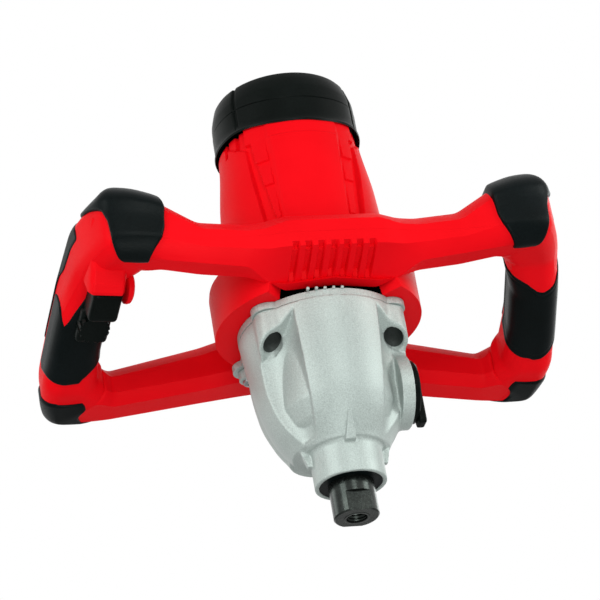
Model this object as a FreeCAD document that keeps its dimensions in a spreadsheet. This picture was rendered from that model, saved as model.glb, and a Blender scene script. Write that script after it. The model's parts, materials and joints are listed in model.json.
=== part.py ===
import FreeCAD, Part
import math
import os
import re
import Sketcher

from FreeCAD import Placement, Rotation, Vector

# Two-handed mixing drill, upright, real size in mm. The origin is the centre of the spindle's
# end face, +Z runs up the spindle, -Y is the front and +X is the side of the gear selector.

doc = FreeCAD.newDocument("mixing_drill")
sheet = doc.addObject("Spreadsheet::Sheet", "Sizes")

SIZES = [
    # spindle
    ("spindle_radius", 13.0),
    ("spindle_flats", 22.0),
    ("flats_height", 12.0),
    ("thread_radius", 6.0),
    ("thread_depth", 26.0),
    ("edge_break", 0.8),
    ("stickout", 20.0),
    ("running_fit", 0.05),
    ("part_gap", 0.3),
    # bearings and seal, as outside radius, bore radius and width
    ("seal_radius", 18.0),
    ("seal_height", 7.0),
    ("low_bearing_radius", 17.5),
    ("low_bearing_bore", 8.5),
    ("low_bearing_width", 10.0),
    ("top_bearing_radius", 14.0),
    ("top_bearing_bore", 6.0),
    ("top_bearing_width", 8.0),
    ("lay_low_radius", 11.0),
    ("lay_low_bore", 4.0),
    ("lay_low_width", 7.0),
    ("lay_top_radius", 13.0),
    ("lay_top_bore", 5.0),
    ("lay_top_width", 8.0),
    ("rotor_low_radius", 17.5),
    ("rotor_low_bore", 7.5),
    ("rotor_low_width", 11.0),
    ("bearing_web", 0.8),
    ("rotor_top_radius", 11.0),
    ("rotor_top_bore", 4.0),
    ("rotor_top_width", 7.0),
    # gear train
    ("centre_distance", 37.5),
    ("motor_offset", 9.0),
    ("fast_teeth", 11),
    ("wheel_teeth", 46),
    ("low_pinion_teeth", 12),
    ("low_gear_teeth", 38),
    ("high_pinion_teeth", 18),
    ("high_gear_teeth", 32),
    ("backlash", 0.2),
    ("high_gear_height", 64.5),
    ("high_gear_width", 7.0),
    ("clutch_gap", 3.0),
    ("sleeve_width", 6.0),
    ("sleeve_radius", 16.5),
    ("sleeve_groove_radius", 13.5),
    ("sleeve_groove_width", 3.0),
    ("dog_height", 2.0),
    ("low_gear_height", 83.0),
    ("low_gear_width", 9.0),
    ("bracket_height", 93.5),
    ("wheel_height", 103.0),
    ("wheel_width", 8.0),
    ("shift_travel", 2.6),
    ("fork_thickness", 2.7),
    ("fork_radius", 20.0),
    ("fork_block_inner", 27.8),
    ("fork_block_outer", 32.8),
    ("crank_pin_radius", 1.6),
    ("selector_shaft_radius", 5.0),
    ("selector_boss_radius", 21.5),
    ("selector_boss_face", 44.0),
    ("knob_radius", 19.0),
    ("knob_thickness", 4.5),
    ("knob_bar_height", 3.0),
    ("knob_bar_width", 8.0),
    # gear housing
    ("housing_wall", 4.0),
    ("neck_radius", 20.5),
    ("neck_length", 22.0),
    ("shoulder_radius", 27.0),
    ("waist_radius", 38.5),
    ("waist_height", 62.0),
    ("belly_radius", 45.0),
    ("belly_height", 96.0),
    ("collar_radius", 47.5),
    ("joint_height", 121.0),
    ("bulge_foot", 54.0),
    ("bulge_foot_radius", 21.0),
    ("bulge_waist_radius", 36.0),
    ("bulge_waist_height", 80.0),
    ("bulge_radius", 40.5),
    ("cavity_radius", 31.0),
    ("gear_floor", 46.0),
    ("upper_cavity_radius", 34.0),
    ("upper_bulge_cavity", 30.0),
    ("lower_bulge_cavity", 22.0),
    ("ear_radius", 9.5),
    ("ear_x", 35.5),
    ("ear_y", 16.0),
    ("rear_ear_x", 34.0),
    ("rear_ear_y", 52.0),
    ("ear_foot", 106.0),
    ("well_radius", 5.6),
    ("well_depth", 6.0),
    ("flute_radius", 11.0),
    ("flute_reach", 39.5),
    ("plate_thickness", 4.0),
    ("plate_hub_radius", 21.0),
    # motor housing and cap
    ("drum_radius", 60.3),
    ("drum_height", 33.0),
    ("drum_wall", 4.0),
    ("outlet_height", 16.0),
    ("outlet_reach", 42.0),
    ("barrel_foot_radius", 47.5),
    ("barrel_top_radius", 41.8),
    ("barrel_bore", 38.3),
    ("barrel_top", 250.0),
    ("spigot_radius", 40.3),
    ("cap_radius", 42.9),
    ("cap_top", 273.0),
    ("cap_wall", 2.5),
    ("cap_edge_height", 246.0),
    ("cap_tilt", 7.5),
    # motor
    ("rotor_radius", 22.7),
    ("rotor_foot", 165.0),
    ("rotor_length", 53.0),
    ("rotor_shaft_radius", 7.5),
    ("stator_radius", 38.0),
    ("stator_bore", 23.5),
    ("stator_back", 6.5),
    ("pole_half_width", 14.0),
    ("coil_overhang", 7.0),
    ("coil_thickness", 6.0),
    ("commutator_radius", 13.0),
    ("commutator_foot", 233.0),
    ("commutator_length", 15.0),
    ("brush_height", 242.0),
    ("brush_width", 8.0),
    ("brush_thickness", 6.0),
    ("fan_radius", 39.5),
    ("fan_foot", 134.5),
    ("fan_height", 13.0),
    ("baffle_radius", 48.5),
    ("baffle_bore", 35.0),
    ("baffle_thickness", 3.0),
    ("bridge_thickness", 4.0),
    # handle frame
    ("yoke_front", 60.5),
    ("yoke_half_width", 27.0),
    ("yoke_depth", 30.0),
    ("yoke_height", 150.0),
    ("yoke_half_height", 13.0),
    ("arm_front", 57.0),
    ("arm_depth", 27.0),
    ("arm_height", 150.5),
    ("arm_half_height", 13.0),
    ("corner_x", 116.0),
    ("corner_y", 41.0),
    ("corner_height", 165.0),
    ("corner_half_height", 20.0),
    ("grip_front_x", 127.0),
    ("grip_front_y", 18.0),
    ("grip_middle_x", 132.0),
    ("grip_rear_x", 138.0),
    ("grip_rear_y", 58.0),
    ("grip_rear_height", 131.0),
    ("grip_half_width", 16.5),
    ("grip_half_height", 17.5),
    ("rear_corner_x", 133.0),
    ("rear_corner_y", 79.0),
    ("rear_corner_height", 127.0),
    ("rear_bar_y", 79.0),
    ("rear_bar_half_depth", 14.0),
    ("rear_bar_half_height", 12.5),
    ("rear_yoke_height", 147.0),
    ("shell_wall", 3.5),
    ("pad_depth", 1.8),
    ("bumper_depth", 1.8),
    # controls in the left grip
    ("grip_slope", 24.0),
    ("grip_splay", 8.0),
    ("trigger_travel", 6.0),
    ("trigger_width", 20.0),
    ("trigger_length", 15.0),
    ("dial_radius", 9.0),
    ("lock_radius", 9.5),
    ("lock_travel", 3.5),
    ("gland_radius", 6.8),
    ("cable_radius", 4.2),
    # fasteners
    ("screw_head_radius", 3.6),
    ("screw_head_height", 3.0),
    ("screw_radius", 1.9),
    ("screw_length", 12.0),
    ("bolt_head_radius", 4.4),
    ("bolt_head_height", 5.0),
    ("bolt_radius", 2.5),
]

for row, (alias, value) in enumerate(SIZES, 1):
    sheet.set(f"A{row}", alias.replace("_", " "))
    sheet.set(f"B{row}", str(value))
    sheet.setAlias(f"B{row}", alias)
doc.recompute()

ALIASES = {alias for alias, value in SIZES}
FINISHED = []


def size(alias):
    """The number in the sheet under this name."""
    return float(sheet.get(alias))


def formula(text):
    """A formula in size names, written for the sheet."""
    return re.sub(r"[a-z_]+", lambda word: "Sizes." + word[0] if word[0] in ALIASES else word[0], text)


def number(text):
    """The present value of a formula in size names."""
    return float(sheet.evalExpression(formula(text)))


def keep(piece, label):
    """Marks an object as a finished sub-part under its node name."""
    piece.Label = label
    FINISHED.append(piece)
    return piece


def place(piece, x="0", y="0", z="0", rotation=None):
    """Puts an object at a bound position."""
    piece.Placement = Placement(Vector(number(x), number(y), number(z)), rotation or Rotation())
    for axis, text in (("x", x), ("y", y), ("z", z)):
        piece.setExpression(f"Placement.Base.{axis}", formula(text))
    return piece


def draw_polygon(sketch, corners):
    """A closed outline whose corner distances are all bound to the sheet."""
    points = [Vector(number(across), number(along), 0) for across, along in corners]
    count = len(points)
    for index in range(count):
        sketch.addGeometry(Part.LineSegment(points[index], points[(index + 1) % count]))
    for index in range(count):
        sketch.addConstraint(Sketcher.Constraint("Coincident", index, 2, (index + 1) % count, 1))
    for index, (across, along) in enumerate(corners):
        for kind, text, value, axis in (
            ("DistanceX", across, points[index].x, -2),
            ("DistanceY", along, points[index].y, -1),
        ):
            if text == "0":
                sketch.addConstraint(Sketcher.Constraint("PointOnObject", index, 1, axis))
                continue
            slot = sketch.addConstraint(Sketcher.Constraint(kind, -1, 1, index, 1, value))
            sketch.setExpression(f"Constraints[{slot}]", formula(text))


def turned(name, corners):
    """A body turned about its Z axis from an outline of (radius, height) corners."""
    body = doc.addObject("PartDesign::Body", name)
    sketch = body.newObject("Sketcher::SketchObject", name + "_outline")
    plane = next(item for item in body.Origin.OriginFeatures if item.Role == "XZ_Plane")
    sketch.AttachmentSupport = [(plane, "")]
    sketch.MapMode = "FlatFace"
    draw_polygon(sketch, corners)
    turn = body.newObject("PartDesign::Revolution", name + "_turn")
    turn.Profile = sketch
    turn.ReferenceAxis = (sketch, ["V_Axis"])
    turn.Angle = 360
    body.Tip = turn
    return body


def cylinder(name, radius, height, x="0", y="0", z="0", rotation=None):
    """A bound cylinder standing on the given point."""
    piece = doc.addObject("Part::Cylinder", name)
    piece.setExpression("Radius", formula(radius))
    piece.setExpression("Height", formula(height))
    return place(piece, x, y, z, rotation)


def block(name, length, width, height, x="0", y="0", z="0", rotation=None):
    """A bound box with its low corner at the given point."""
    piece = doc.addObject("Part::Box", name)
    piece.setExpression("Length", formula(length))
    piece.setExpression("Width", formula(width))
    piece.setExpression("Height", formula(height))
    return place(piece, x, y, z, rotation)


def joined(name, pieces):
    """Several objects as one."""
    piece = doc.addObject("Part::MultiFuse", name)
    piece.Shapes = pieces
    return piece


def carved(name, base, tools):
    """An object with others taken out of it."""
    piece = doc.addObject("Part::Cut", name)
    piece.Base = base
    piece.Tool = tools[0] if len(tools) == 1 else joined(name + "_tools", tools)
    return piece


def grouped(name, pieces):
    """Separate solids kept under one node."""
    piece = doc.addObject("Part::Compound", name)
    piece.Links = pieces
    return piece


def shaped(name, shape):
    """A free form, its shape computed from the sheet's sizes."""
    piece = doc.addObject("Part::Feature", name)
    piece.Shape = shape
    return piece


def tube(outer, inner, low, high):
    """The outline of a plain ring between two heights."""
    return [(inner, low), (outer, low), (outer, high), (inner, high)]


ALONG_X = Rotation(Vector(0, 1, 0), 90)
ALONG_Y = Rotation(Vector(1, 0, 0), -90)


# Ball bearings: outer ring, inner ring and the ball row between them, all turned.
def bearing(label, radius, bore, width, foot, y="0"):
    ring = f"(({radius}) - ({bore}))"
    outer = turned(label + "_outer", tube(radius, f"{radius} - {ring} * 0.26", "0", width))
    inner = turned(label + "_inner", tube(f"{bore} + {ring} * 0.26", f"{bore} + running_fit", "0", width))
    balls = turned(
        label + "_balls",
        [
            (f"{bore} + {ring} * 0.27", f"{width} * 0.5"),
            (f"{bore} + {ring} * 0.5", f"{width} * 0.22"),
            (f"{bore} + {ring} * 0.73", f"{width} * 0.5"),
            (f"{bore} + {ring} * 0.5", f"{width} * 0.78"),
        ],
    )
    group = grouped(label, [outer, inner, balls])
    return keep(place(group, y=y, z=foot), label)


SPINDLE_BEARING_FOOT = "stickout + seal_height + 1"
SPINDLE_BEARING_TOP = "stickout + seal_height + 1 + low_bearing_width"
BRACKET_TOP = "bracket_height + top_bearing_width"
DRUM_FOOT = "joint_height + plate_thickness"
DRUM_TOP = "joint_height + plate_thickness + drum_height"
BRIDGE_TOP = "barrel_top + bridge_thickness"
ROTOR_TOP = "rotor_foot + rotor_length"

bearing("spindle_lower_bearing", "low_bearing_radius", "low_bearing_bore", "low_bearing_width",
        SPINDLE_BEARING_FOOT)
bearing("spindle_upper_bearing", "top_bearing_radius", "top_bearing_bore", "top_bearing_width",
        "bracket_height")
bearing("layshaft_lower_bearing", "lay_low_radius", "lay_low_bore", "lay_low_width",
        "bulge_foot + 2", "centre_distance")
bearing("layshaft_upper_bearing", "lay_top_radius", "lay_top_bore", "lay_top_width",
        "joint_height - lay_top_width", "centre_distance")
bearing("armature_lower_bearing", "rotor_low_radius", "rotor_low_bore", "rotor_low_width",
        "joint_height + bearing_web", "motor_offset")
bearing("armature_upper_bearing", "rotor_top_radius", "rotor_top_bore", "rotor_top_width",
        BRIDGE_TOP, "motor_offset")

# Spindle: turned shaft with a threaded socket and two wrench flats at its open end.
spindle_blank = turned(
    "spindle_blank",
    [
        ("thread_radius", "0"),
        ("spindle_radius - edge_break", "0"),
        ("spindle_radius", "edge_break"),
        ("spindle_radius", SPINDLE_BEARING_FOOT),
        ("low_bearing_bore", SPINDLE_BEARING_FOOT),
        ("low_bearing_bore", "bracket_height - 0.5"),
        ("top_bearing_bore", "bracket_height - 0.5"),
        ("top_bearing_bore", BRACKET_TOP),
        ("0", BRACKET_TOP),
        ("0", "thread_depth + thread_radius * 0.5"),
        ("thread_radius", "thread_depth"),
    ],
)
flat_cuts = [
    block(f"flat_cut_{side}", "spindle_radius * 2", "spindle_radius", "flats_height",
          "-spindle_radius", y, "0")
    for side, y in (("front", "-spindle_flats * 0.5 - spindle_radius"), ("rear", "spindle_flats * 0.5"))
]
keep(carved("spindle_milled", spindle_blank, flat_cuts), "spindle")

keep(turned("seal_ring", [
    ("spindle_radius + running_fit", "stickout + 0.6"),
    ("seal_radius", "stickout + 0.6"),
    ("seal_radius", "stickout + seal_height + 0.6"),
    ("spindle_radius + 2", "stickout + seal_height + 0.6"),
    ("spindle_radius + 2", "stickout + 2.2"),
    ("spindle_radius + running_fit", "stickout + 1.6"),
]), "spindle_seal")

keep(turned("spacer_ring", tube("low_bearing_bore + 3", "low_bearing_bore",
                                f"{SPINDLE_BEARING_TOP} + part_gap", "high_gear_height - part_gap")),
     "spindle_spacer")


# Gears: straight involute teeth; the wheels carry shortened tips so that small pinions mesh freely.
PRESSURE = math.radians(20.0)


def involute_angle(base, radius):
    """Angle swept by the involute of a base circle out to a radius."""
    if radius <= base:
        return 0.0
    roll = math.sqrt((radius / base) ** 2 - 1.0)
    return roll - math.atan(roll)


def gear_face(teeth, module, tip, first_tooth):
    """Flat gear outline with one tooth centred on the given angle."""
    pitch = teeth * module / 2.0
    base = pitch * math.cos(PRESSURE)
    top = pitch + tip * module
    root = pitch - 1.25 * module
    half_tooth = math.pi / (2.0 * teeth) - size("backlash") / (4.0 * pitch)
    at_pitch = involute_angle(base, pitch)
    start = max(root, base)
    radii = [start + (top - start) * step / 3.0 for step in range(4)]
    flank = [(radius, half_tooth + at_pitch - involute_angle(base, radius)) for radius in radii]
    if root < base:
        flank.insert(0, (root, flank[0][1]))

    def spot(radius, angle):
        return Vector(radius * math.cos(angle), radius * math.sin(angle), 0)

    points = []
    for tooth in range(teeth):
        middle = first_tooth + 2.0 * math.pi * tooth / teeth
        points += [spot(radius, middle - offset) for radius, offset in flank]
        points += [spot(radius, middle + offset) for radius, offset in reversed(flank)]
    return Part.Face(Part.makePolygon(points + points[:1]))


def gear_solid(teeth, module, tip, first_tooth, low, width):
    face = gear_face(teeth, module, tip, first_tooth)
    face.translate(Vector(0, 0, low))
    return face.extrude(Vector(0, 0, width))


def drum_solid(radius, low, high, x=0.0, y=0.0):
    """A plain upright cylinder between two heights."""
    return Part.makeCylinder(radius, high - low, Vector(x, y, low))


def pair_module(first, second, distance):
    """Module that puts a pair of gears on its centre distance."""
    return 2.0 * distance / (size(first) + size(second))


TOOTH_AT_SHAFT = math.pi / 2.0
STUB_TIP = 0.65
FULL_TIP = 1.0


def mating_start(teeth):
    """First tooth angle that leaves a gap facing the spindle axis."""
    return -math.pi / 2.0 + math.pi / teeth


def on_motor_axis(shape):
    """A shape drawn about Z, moved to the motor's axis."""
    moved = shape.copy()
    moved.translate(Vector(0, motor_y, 0))
    return moved


def dog_ring(inner, outer, low, high, start, span, count=3):
    """Claw clutch teeth: equal ring sectors."""
    ring = drum_solid(outer, low, high).cut(drum_solid(inner, low, high))
    claws = []
    for index in range(count):
        wedge = Part.makeCylinder(outer * 1.2, high - low, Vector(0, 0, low), Vector(0, 0, 1), span)
        wedge.rotate(Vector(0, 0, 0), Vector(0, 0, 1), start + 360.0 / count * index)
        claws.append(ring.common(wedge))
    return claws


lay_y = size("centre_distance")
motor_y = size("motor_offset")
bore = size("low_bearing_bore")
fit = size("running_fit")
sleeve_foot = size("high_gear_height") + size("high_gear_width") + size("clutch_gap")
sleeve_top = sleeve_foot + size("sleeve_width")
claw_inner = bore + 2.5
claw_outer = size("sleeve_radius") - 1.0
claw = size("dog_height")

low_foot = size("low_gear_height")
low_teeth = int(size("low_gear_teeth"))
low_module = pair_module("low_gear_teeth", "low_pinion_teeth", lay_y)
low_gear = gear_solid(low_teeth, low_module, STUB_TIP, TOOTH_AT_SHAFT, low_foot, size("low_gear_width"))
low_gear = low_gear.cut(drum_solid(bore, low_foot, low_foot + size("low_gear_width")))
low_gear = low_gear.fuse(dog_ring(claw_inner, claw_outer, low_foot - claw, low_foot, 62, 50))
keep(shaped("low_gear_teeth_cut", low_gear.removeSplitter()), "low_gear")

high_foot = size("high_gear_height")
high_top = high_foot + size("high_gear_width")
high_teeth = int(size("high_gear_teeth"))
high_module = pair_module("high_gear_teeth", "high_pinion_teeth", lay_y)
high_gear = gear_solid(high_teeth, high_module, STUB_TIP, TOOTH_AT_SHAFT, high_foot,
                       size("high_gear_width"))
high_gear = high_gear.cut(drum_solid(bore + fit, high_foot, high_top))
claw_pocket = drum_solid(claw_outer + 0.6, high_top - 3.0, high_top)
high_gear = high_gear.cut(claw_pocket.cut(drum_solid(claw_inner - 0.6, high_top - 3.0, high_top)))
keep(shaped("high_gear_teeth_cut", high_gear), "high_gear")

groove_low = (sleeve_foot + sleeve_top - size("sleeve_groove_width")) / 2.0
groove_high = groove_low + size("sleeve_groove_width")
sleeve = drum_solid(size("sleeve_radius"), sleeve_foot, sleeve_top)
groove = drum_solid(size("sleeve_radius") + 1, groove_low, groove_high)
sleeve = sleeve.cut(groove.cut(drum_solid(size("sleeve_groove_radius"), groove_low, groove_high)))
sleeve = sleeve.cut(drum_solid(bore + fit, sleeve_foot, sleeve_top))
sleeve = sleeve.fuse(
    dog_ring(claw_inner, claw_outer, sleeve_top, sleeve_top + claw, 2, 56)
    + dog_ring(claw_inner, claw_outer, sleeve_foot - claw, sleeve_foot, 2, 56)
)
keep(shaped("sleeve_claws", sleeve.removeSplitter()), "shift_sleeve")

keep(turned("circlip_ring", tube("low_bearing_bore + 2", "low_bearing_bore",
                                 "low_gear_height + low_gear_width + 0.1", "bracket_height - 0.5")),
     "spindle_circlip")

# Layshaft: shaft with the slow pinion cut into it, the fast pinion and the large wheel pressed on.
lay_low = size("bulge_foot") + 2.0
low_pinion = int(size("low_pinion_teeth"))
pinion_foot = size("low_gear_height") - 0.5
pinion_top = size("low_gear_height") + size("low_gear_width") + 0.8
seat_radius = 6.0
wheel_foot = size("wheel_height")
wheel_top = wheel_foot + size("wheel_width")
joint = size("joint_height")
lay_shaft = drum_solid(size("lay_low_bore"), lay_low, lay_low + size("lay_low_width") + 0.2)
lay_shaft = lay_shaft.fuse([
    drum_solid(seat_radius, lay_low + size("lay_low_width") + 0.2, joint - size("lay_top_width") - 0.3),
    drum_solid(size("lay_top_bore"), joint - size("lay_top_width") - 0.3, joint - 0.2),
    gear_solid(low_pinion, low_module, FULL_TIP, mating_start(low_pinion), pinion_foot,
               pinion_top - pinion_foot),
])
lay_shaft.translate(Vector(0, lay_y, 0))
keep(shaped("layshaft_cut", lay_shaft.removeSplitter()), "layshaft")

high_pinion = int(size("high_pinion_teeth"))
fast_pinion = gear_solid(high_pinion, high_module, FULL_TIP, mating_start(high_pinion),
                         high_foot - 0.5, size("high_gear_width") + 1.0)
fast_pinion = fast_pinion.cut(drum_solid(seat_radius, high_foot - 1.0, high_top + 1.0))
fast_pinion.translate(Vector(0, lay_y, 0))
keep(shaped("fast_pinion_cut", fast_pinion), "layshaft_pinion")

wheel_teeth = int(size("wheel_teeth"))
wheel_module = pair_module("wheel_teeth", "fast_teeth", lay_y - motor_y)
wheel = gear_solid(wheel_teeth, wheel_module, STUB_TIP, mating_start(wheel_teeth), wheel_foot,
                   size("wheel_width"))
wheel = wheel.cut(drum_solid(seat_radius, wheel_foot, wheel_top))
web = drum_solid(18.0, wheel_foot, wheel_foot + 2.5).cut(drum_solid(11.0, wheel_foot, wheel_foot + 2.5))
wheel = wheel.cut(web)
wheel.translate(Vector(0, lay_y, 0))
keep(shaped("wheel_cut", wheel), "layshaft_wheel")

# Armature: shaft with the motor pinion at its foot, laminated core, windings, commutator and fan.
fast = int(size("fast_teeth"))
armature_seat = joint + size("bearing_web")
shaft_radius = size("rotor_shaft_radius")
bridge_top = size("barrel_top") + size("bridge_thickness")
shaft_top = bridge_top + size("rotor_top_width")
rotor_shaft = gear_solid(fast, wheel_module, FULL_TIP, TOOTH_AT_SHAFT, wheel_foot - 0.8,
                         size("wheel_width") + 3.0)
rotor_shaft = rotor_shaft.fuse([
    drum_solid(4.0, wheel_top + 2.0, armature_seat),
    drum_solid(shaft_radius, armature_seat, size("commutator_foot")),
    drum_solid(6.0, size("commutator_foot"), bridge_top - 0.4),
    drum_solid(size("rotor_top_bore"), bridge_top - 0.4, shaft_top),
])
keep(shaped("armature_shaft_cut", on_motor_axis(rotor_shaft.removeSplitter())), "armature_shaft")

rotor_foot = size("rotor_foot")
rotor_top = rotor_foot + size("rotor_length")
rotor_radius = size("rotor_radius")
SLOTS = 12
SLOT_WIDTH = 3.4
SLOT_DEPTH = 8.0


def spokes(width, inner, outer, low, high, count, turn=0.0):
    """Equal upright blades standing around the axis."""
    blades = []
    for index in range(count):
        blade = Part.makeBox(outer - inner, width, high - low, Vector(inner, -width / 2.0, low))
        blade.rotate(Vector(0, 0, 0), Vector(0, 0, 1), turn + 360.0 / count * index)
        blades.append(blade)
    return blades


core = drum_solid(rotor_radius, rotor_foot, rotor_top).cut(drum_solid(shaft_radius, rotor_foot, rotor_top))
core = core.cut(spokes(SLOT_WIDTH, rotor_radius - SLOT_DEPTH, rotor_radius + 1, rotor_foot, rotor_top, SLOTS))
keep(shaped("core_stack", on_motor_axis(core)), "armature_core")

WINDING_HEAD = 8.0
bars = spokes(SLOT_WIDTH - 0.4, rotor_radius - SLOT_DEPTH + 0.2, rotor_radius - 1.0,
              rotor_foot - 1.0, rotor_top + 1.0, SLOTS)
heads = []
for low, high in ((rotor_foot - WINDING_HEAD, rotor_foot - 0.2), (rotor_top + 0.2, rotor_top + WINDING_HEAD)):
    head = drum_solid(rotor_radius - 1.5, low, high).cut(drum_solid(shaft_radius + 0.2, low, high))
    heads.append(head)
windings = heads[0].fuse(heads[1:] + bars).removeSplitter()
keep(shaped("winding_heads", on_motor_axis(windings)), "armature_windings")

commutator = turned("commutator_ring", [
    ("6", "commutator_foot"),
    ("commutator_radius + 2", "commutator_foot"),
    ("commutator_radius + 2", "commutator_foot + 2"),
    ("commutator_radius", "commutator_foot + 2"),
    ("commutator_radius", "commutator_foot + commutator_length"),
    ("6", "commutator_foot + commutator_length"),
])
keep(place(commutator, y="motor_offset"), "commutator")

fan_foot = size("fan_foot")
fan_top = fan_foot + size("fan_height")
fan = drum_solid(16.0, fan_foot, fan_top).fuse(
    [drum_solid(size("fan_radius"), fan_top - 2.0, fan_top)]
    + spokes(2.0, 15.0, size("fan_radius") - 0.5, fan_foot, fan_top - 1.0, 14)
)
fan = fan.cut(drum_solid(shaft_radius, fan_foot, fan_top))
keep(shaped("fan_wheel", on_motor_axis(fan.removeSplitter())), "cooling_fan")

# Stator: laminated ring with two poles, and a field coil around each pole.
stator_ring = turned("stator_ring", tube("stator_radius", "stator_radius - stator_back",
                                         "rotor_foot", ROTOR_TOP))
pole_bar = block("pole_bar", "stator_radius * 2 - stator_back", "pole_half_width * 2", "rotor_length",
                 "-stator_radius + stator_back * 0.5", "-pole_half_width", "rotor_foot")
pole_bore = cylinder("pole_bore", "stator_bore", "rotor_length", z="rotor_foot")
stator = carved("stator_stack", joined("stator_blank", [stator_ring, pole_bar]), [pole_bore])
keep(place(stator, y="motor_offset"), "stator_core")

coil_low = rotor_foot - size("coil_overhang")
coil_high = rotor_top + size("coil_overhang")
coil_half = size("pole_half_width") + size("coil_thickness")
coil_outer = size("stator_radius") - size("stator_back") - 0.3
coil_inner = size("stator_bore") + 1.5
coils = []
for side in (-1, 1):
    band = drum_solid(coil_outer, coil_low, coil_high).cut(drum_solid(coil_inner, coil_low, coil_high))
    low_x = 0.0 if side > 0 else -coil_outer
    slab = Part.makeBox(coil_outer, 2 * coil_half, coil_high - coil_low, Vector(low_x, -coil_half, coil_low))
    window_half = size("pole_half_width") + 0.3
    window = Part.makeBox(coil_outer, 2 * window_half, size("rotor_length") + 0.6,
                          Vector(low_x, -window_half, rotor_foot - 0.3))
    coils.append(band.common(slab).cut(window))
keep(shaped("coil_pair", on_motor_axis(Part.makeCompound(coils))), "field_coils")

# Brush gear: two holders under the upper bearing bridge, a carbon brush and a roll spring in each.
BRUSH_REACH = 30.0
HOLDER_INNER = "commutator_radius + 2"
HOLDER_LENGTH = "barrel_bore - commutator_radius - 6"
holders = []
brushes = []
springs = []
for name, turn in (("right", Rotation()), ("left", Rotation(Vector(0, 0, 1), 180))):
    holder = block(f"holder_{name}", HOLDER_LENGTH, "brush_width + 4", "barrel_top - brush_height + 5",
                   HOLDER_INNER, "-brush_width * 0.5 - 2", "brush_height - 5")
    window = block(f"holder_window_{name}", "barrel_bore", "brush_width + 0.3", "brush_thickness + 0.3",
                   "0", "-brush_width * 0.5 - 0.15", "brush_height - brush_thickness * 0.5 - 0.15")
    brush = block(f"brush_{name}", f"{BRUSH_REACH} - commutator_radius",
                  "brush_width", "brush_thickness", "commutator_radius + running_fit",
                  "-brush_width * 0.5", "brush_height - brush_thickness * 0.5")
    spring = cylinder(f"spring_{name}", "brush_thickness * 0.48", "brush_width",
                      f"{BRUSH_REACH} + brush_thickness * 0.5 + 0.2", "-brush_width * 0.5", "brush_height",
                      ALONG_Y)
    parts = [carved(f"holder_box_{name}", holder, [window]), brush, spring]
    groups = [grouped(f"{piece.Name}_side", [piece]) for piece in parts]
    for group in groups:
        group.Placement = Placement(Vector(0, 0, 0), turn)
    holders.append(groups[0])
    brushes.append(groups[1])
    springs.append(groups[2])
keep(place(grouped("holder_pair", holders), y="motor_offset"), "brush_holders")
keep(place(grouped("brush_pair", brushes), y="motor_offset"), "carbon_brushes")
keep(place(grouped("spring_pair", springs), y="motor_offset"), "brush_springs")

bridge = turned("bridge_disc", [
    ("10", "barrel_top"),
    ("spigot_radius - 0.3", "barrel_top"),
    ("spigot_radius - 0.3", BRIDGE_TOP),
    ("rotor_top_radius + 4", BRIDGE_TOP),
    ("rotor_top_radius + 4", f"{BRIDGE_TOP} + rotor_top_width + 1"),
    ("rotor_top_radius", f"{BRIDGE_TOP} + rotor_top_width + 1"),
    ("rotor_top_radius", BRIDGE_TOP),
    ("10", BRIDGE_TOP),
])
bridge_windows = [
    cylinder(f"bridge_window_{name}", "8", "bridge_thickness", x, y, "barrel_top")
    for name, x, y in (("front", "0", "-28"), ("rear", "0", "28"))
]
keep(place(carved("bridge_spokes", bridge, bridge_windows), y="motor_offset"), "bearing_bridge")

baffle = turned("baffle_ring", tube("baffle_radius", "baffle_bore",
                                    f"{DRUM_TOP} - drum_wall - baffle_thickness", f"{DRUM_TOP} - drum_wall"))
keep(place(baffle, y="motor_offset"), "air_baffle")


# Gear housing: die-cast pot with a neck for the spindle, a bulge for the layshaft, ears for the
# four long screws and a side boss for the selector.
def spun(steps, y=0.0):
    """A solid turned about an upright axis; a step is (radius, height) or adds an arc's middle point."""
    edges = []
    here = Vector(steps[0][0], 0, steps[0][1])
    for step in steps[1:] + steps[:1]:
        there = Vector(step[0], 0, step[1])
        if len(step) == 4:
            edges.append(Part.Arc(here, Vector(step[2], 0, step[3]), there).toShape())
        else:
            edges.append(Part.makeLine(here, there))
        here = there
    solid = Part.Face(Part.Wire(edges)).revolve(Vector(0, 0, 0), Vector(0, 0, 1), 360)
    solid.translate(Vector(0, y, 0))
    return solid


def mirrored(shape):
    """The same form on the other side of the middle plane."""
    return shape.mirror(Vector(0, 0, 0), Vector(1, 0, 0))


stick = size("stickout")
neck_top = stick + size("neck_length")
seal_top = stick + size("seal_height") + 1.0
low_bearing_top = seal_top + size("low_bearing_width")
bracket_z = size("bracket_height")
neck_form = drum_solid(size("neck_radius"), stick, neck_top + 10.0)
main_form = spun([
    (0.0, neck_top + 1.5),
    (size("shoulder_radius"), neck_top + 1.5),
    (size("belly_radius"), size("belly_height"), size("waist_radius"), size("waist_height")),
    (size("collar_radius"), joint),
    (0.0, joint),
], motor_y)
POT_HEIGHT = 68.0
POT_ARC_HEIGHT = 54.0
pot_form = spun([
    (0.0, neck_top - 1.0),
    (size("neck_radius"), neck_top - 1.0),
    (size("shoulder_radius"), neck_top + 2.0),
    (size("cavity_radius") + size("housing_wall"), POT_HEIGHT, size("cavity_radius"), POT_ARC_HEIGHT),
    (size("cavity_radius") + size("housing_wall"), joint),
    (0.0, joint),
])
bulge_form = spun([
    (0.0, size("bulge_foot")),
    (size("bulge_foot_radius"), size("bulge_foot")),
    (size("bulge_radius"), joint - 8.0, size("bulge_waist_radius"), size("bulge_waist_height")),
    (size("bulge_radius"), joint),
    (0.0, joint),
], lay_y)
selector_z = (groove_low + groove_high) / 2.0 - size("shift_travel") / 2.0
selector_boss = Part.makeCylinder(size("selector_boss_radius"), size("selector_boss_face") - 20.0,
                                  Vector(20, 0, selector_z), Vector(1, 0, 0))
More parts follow.
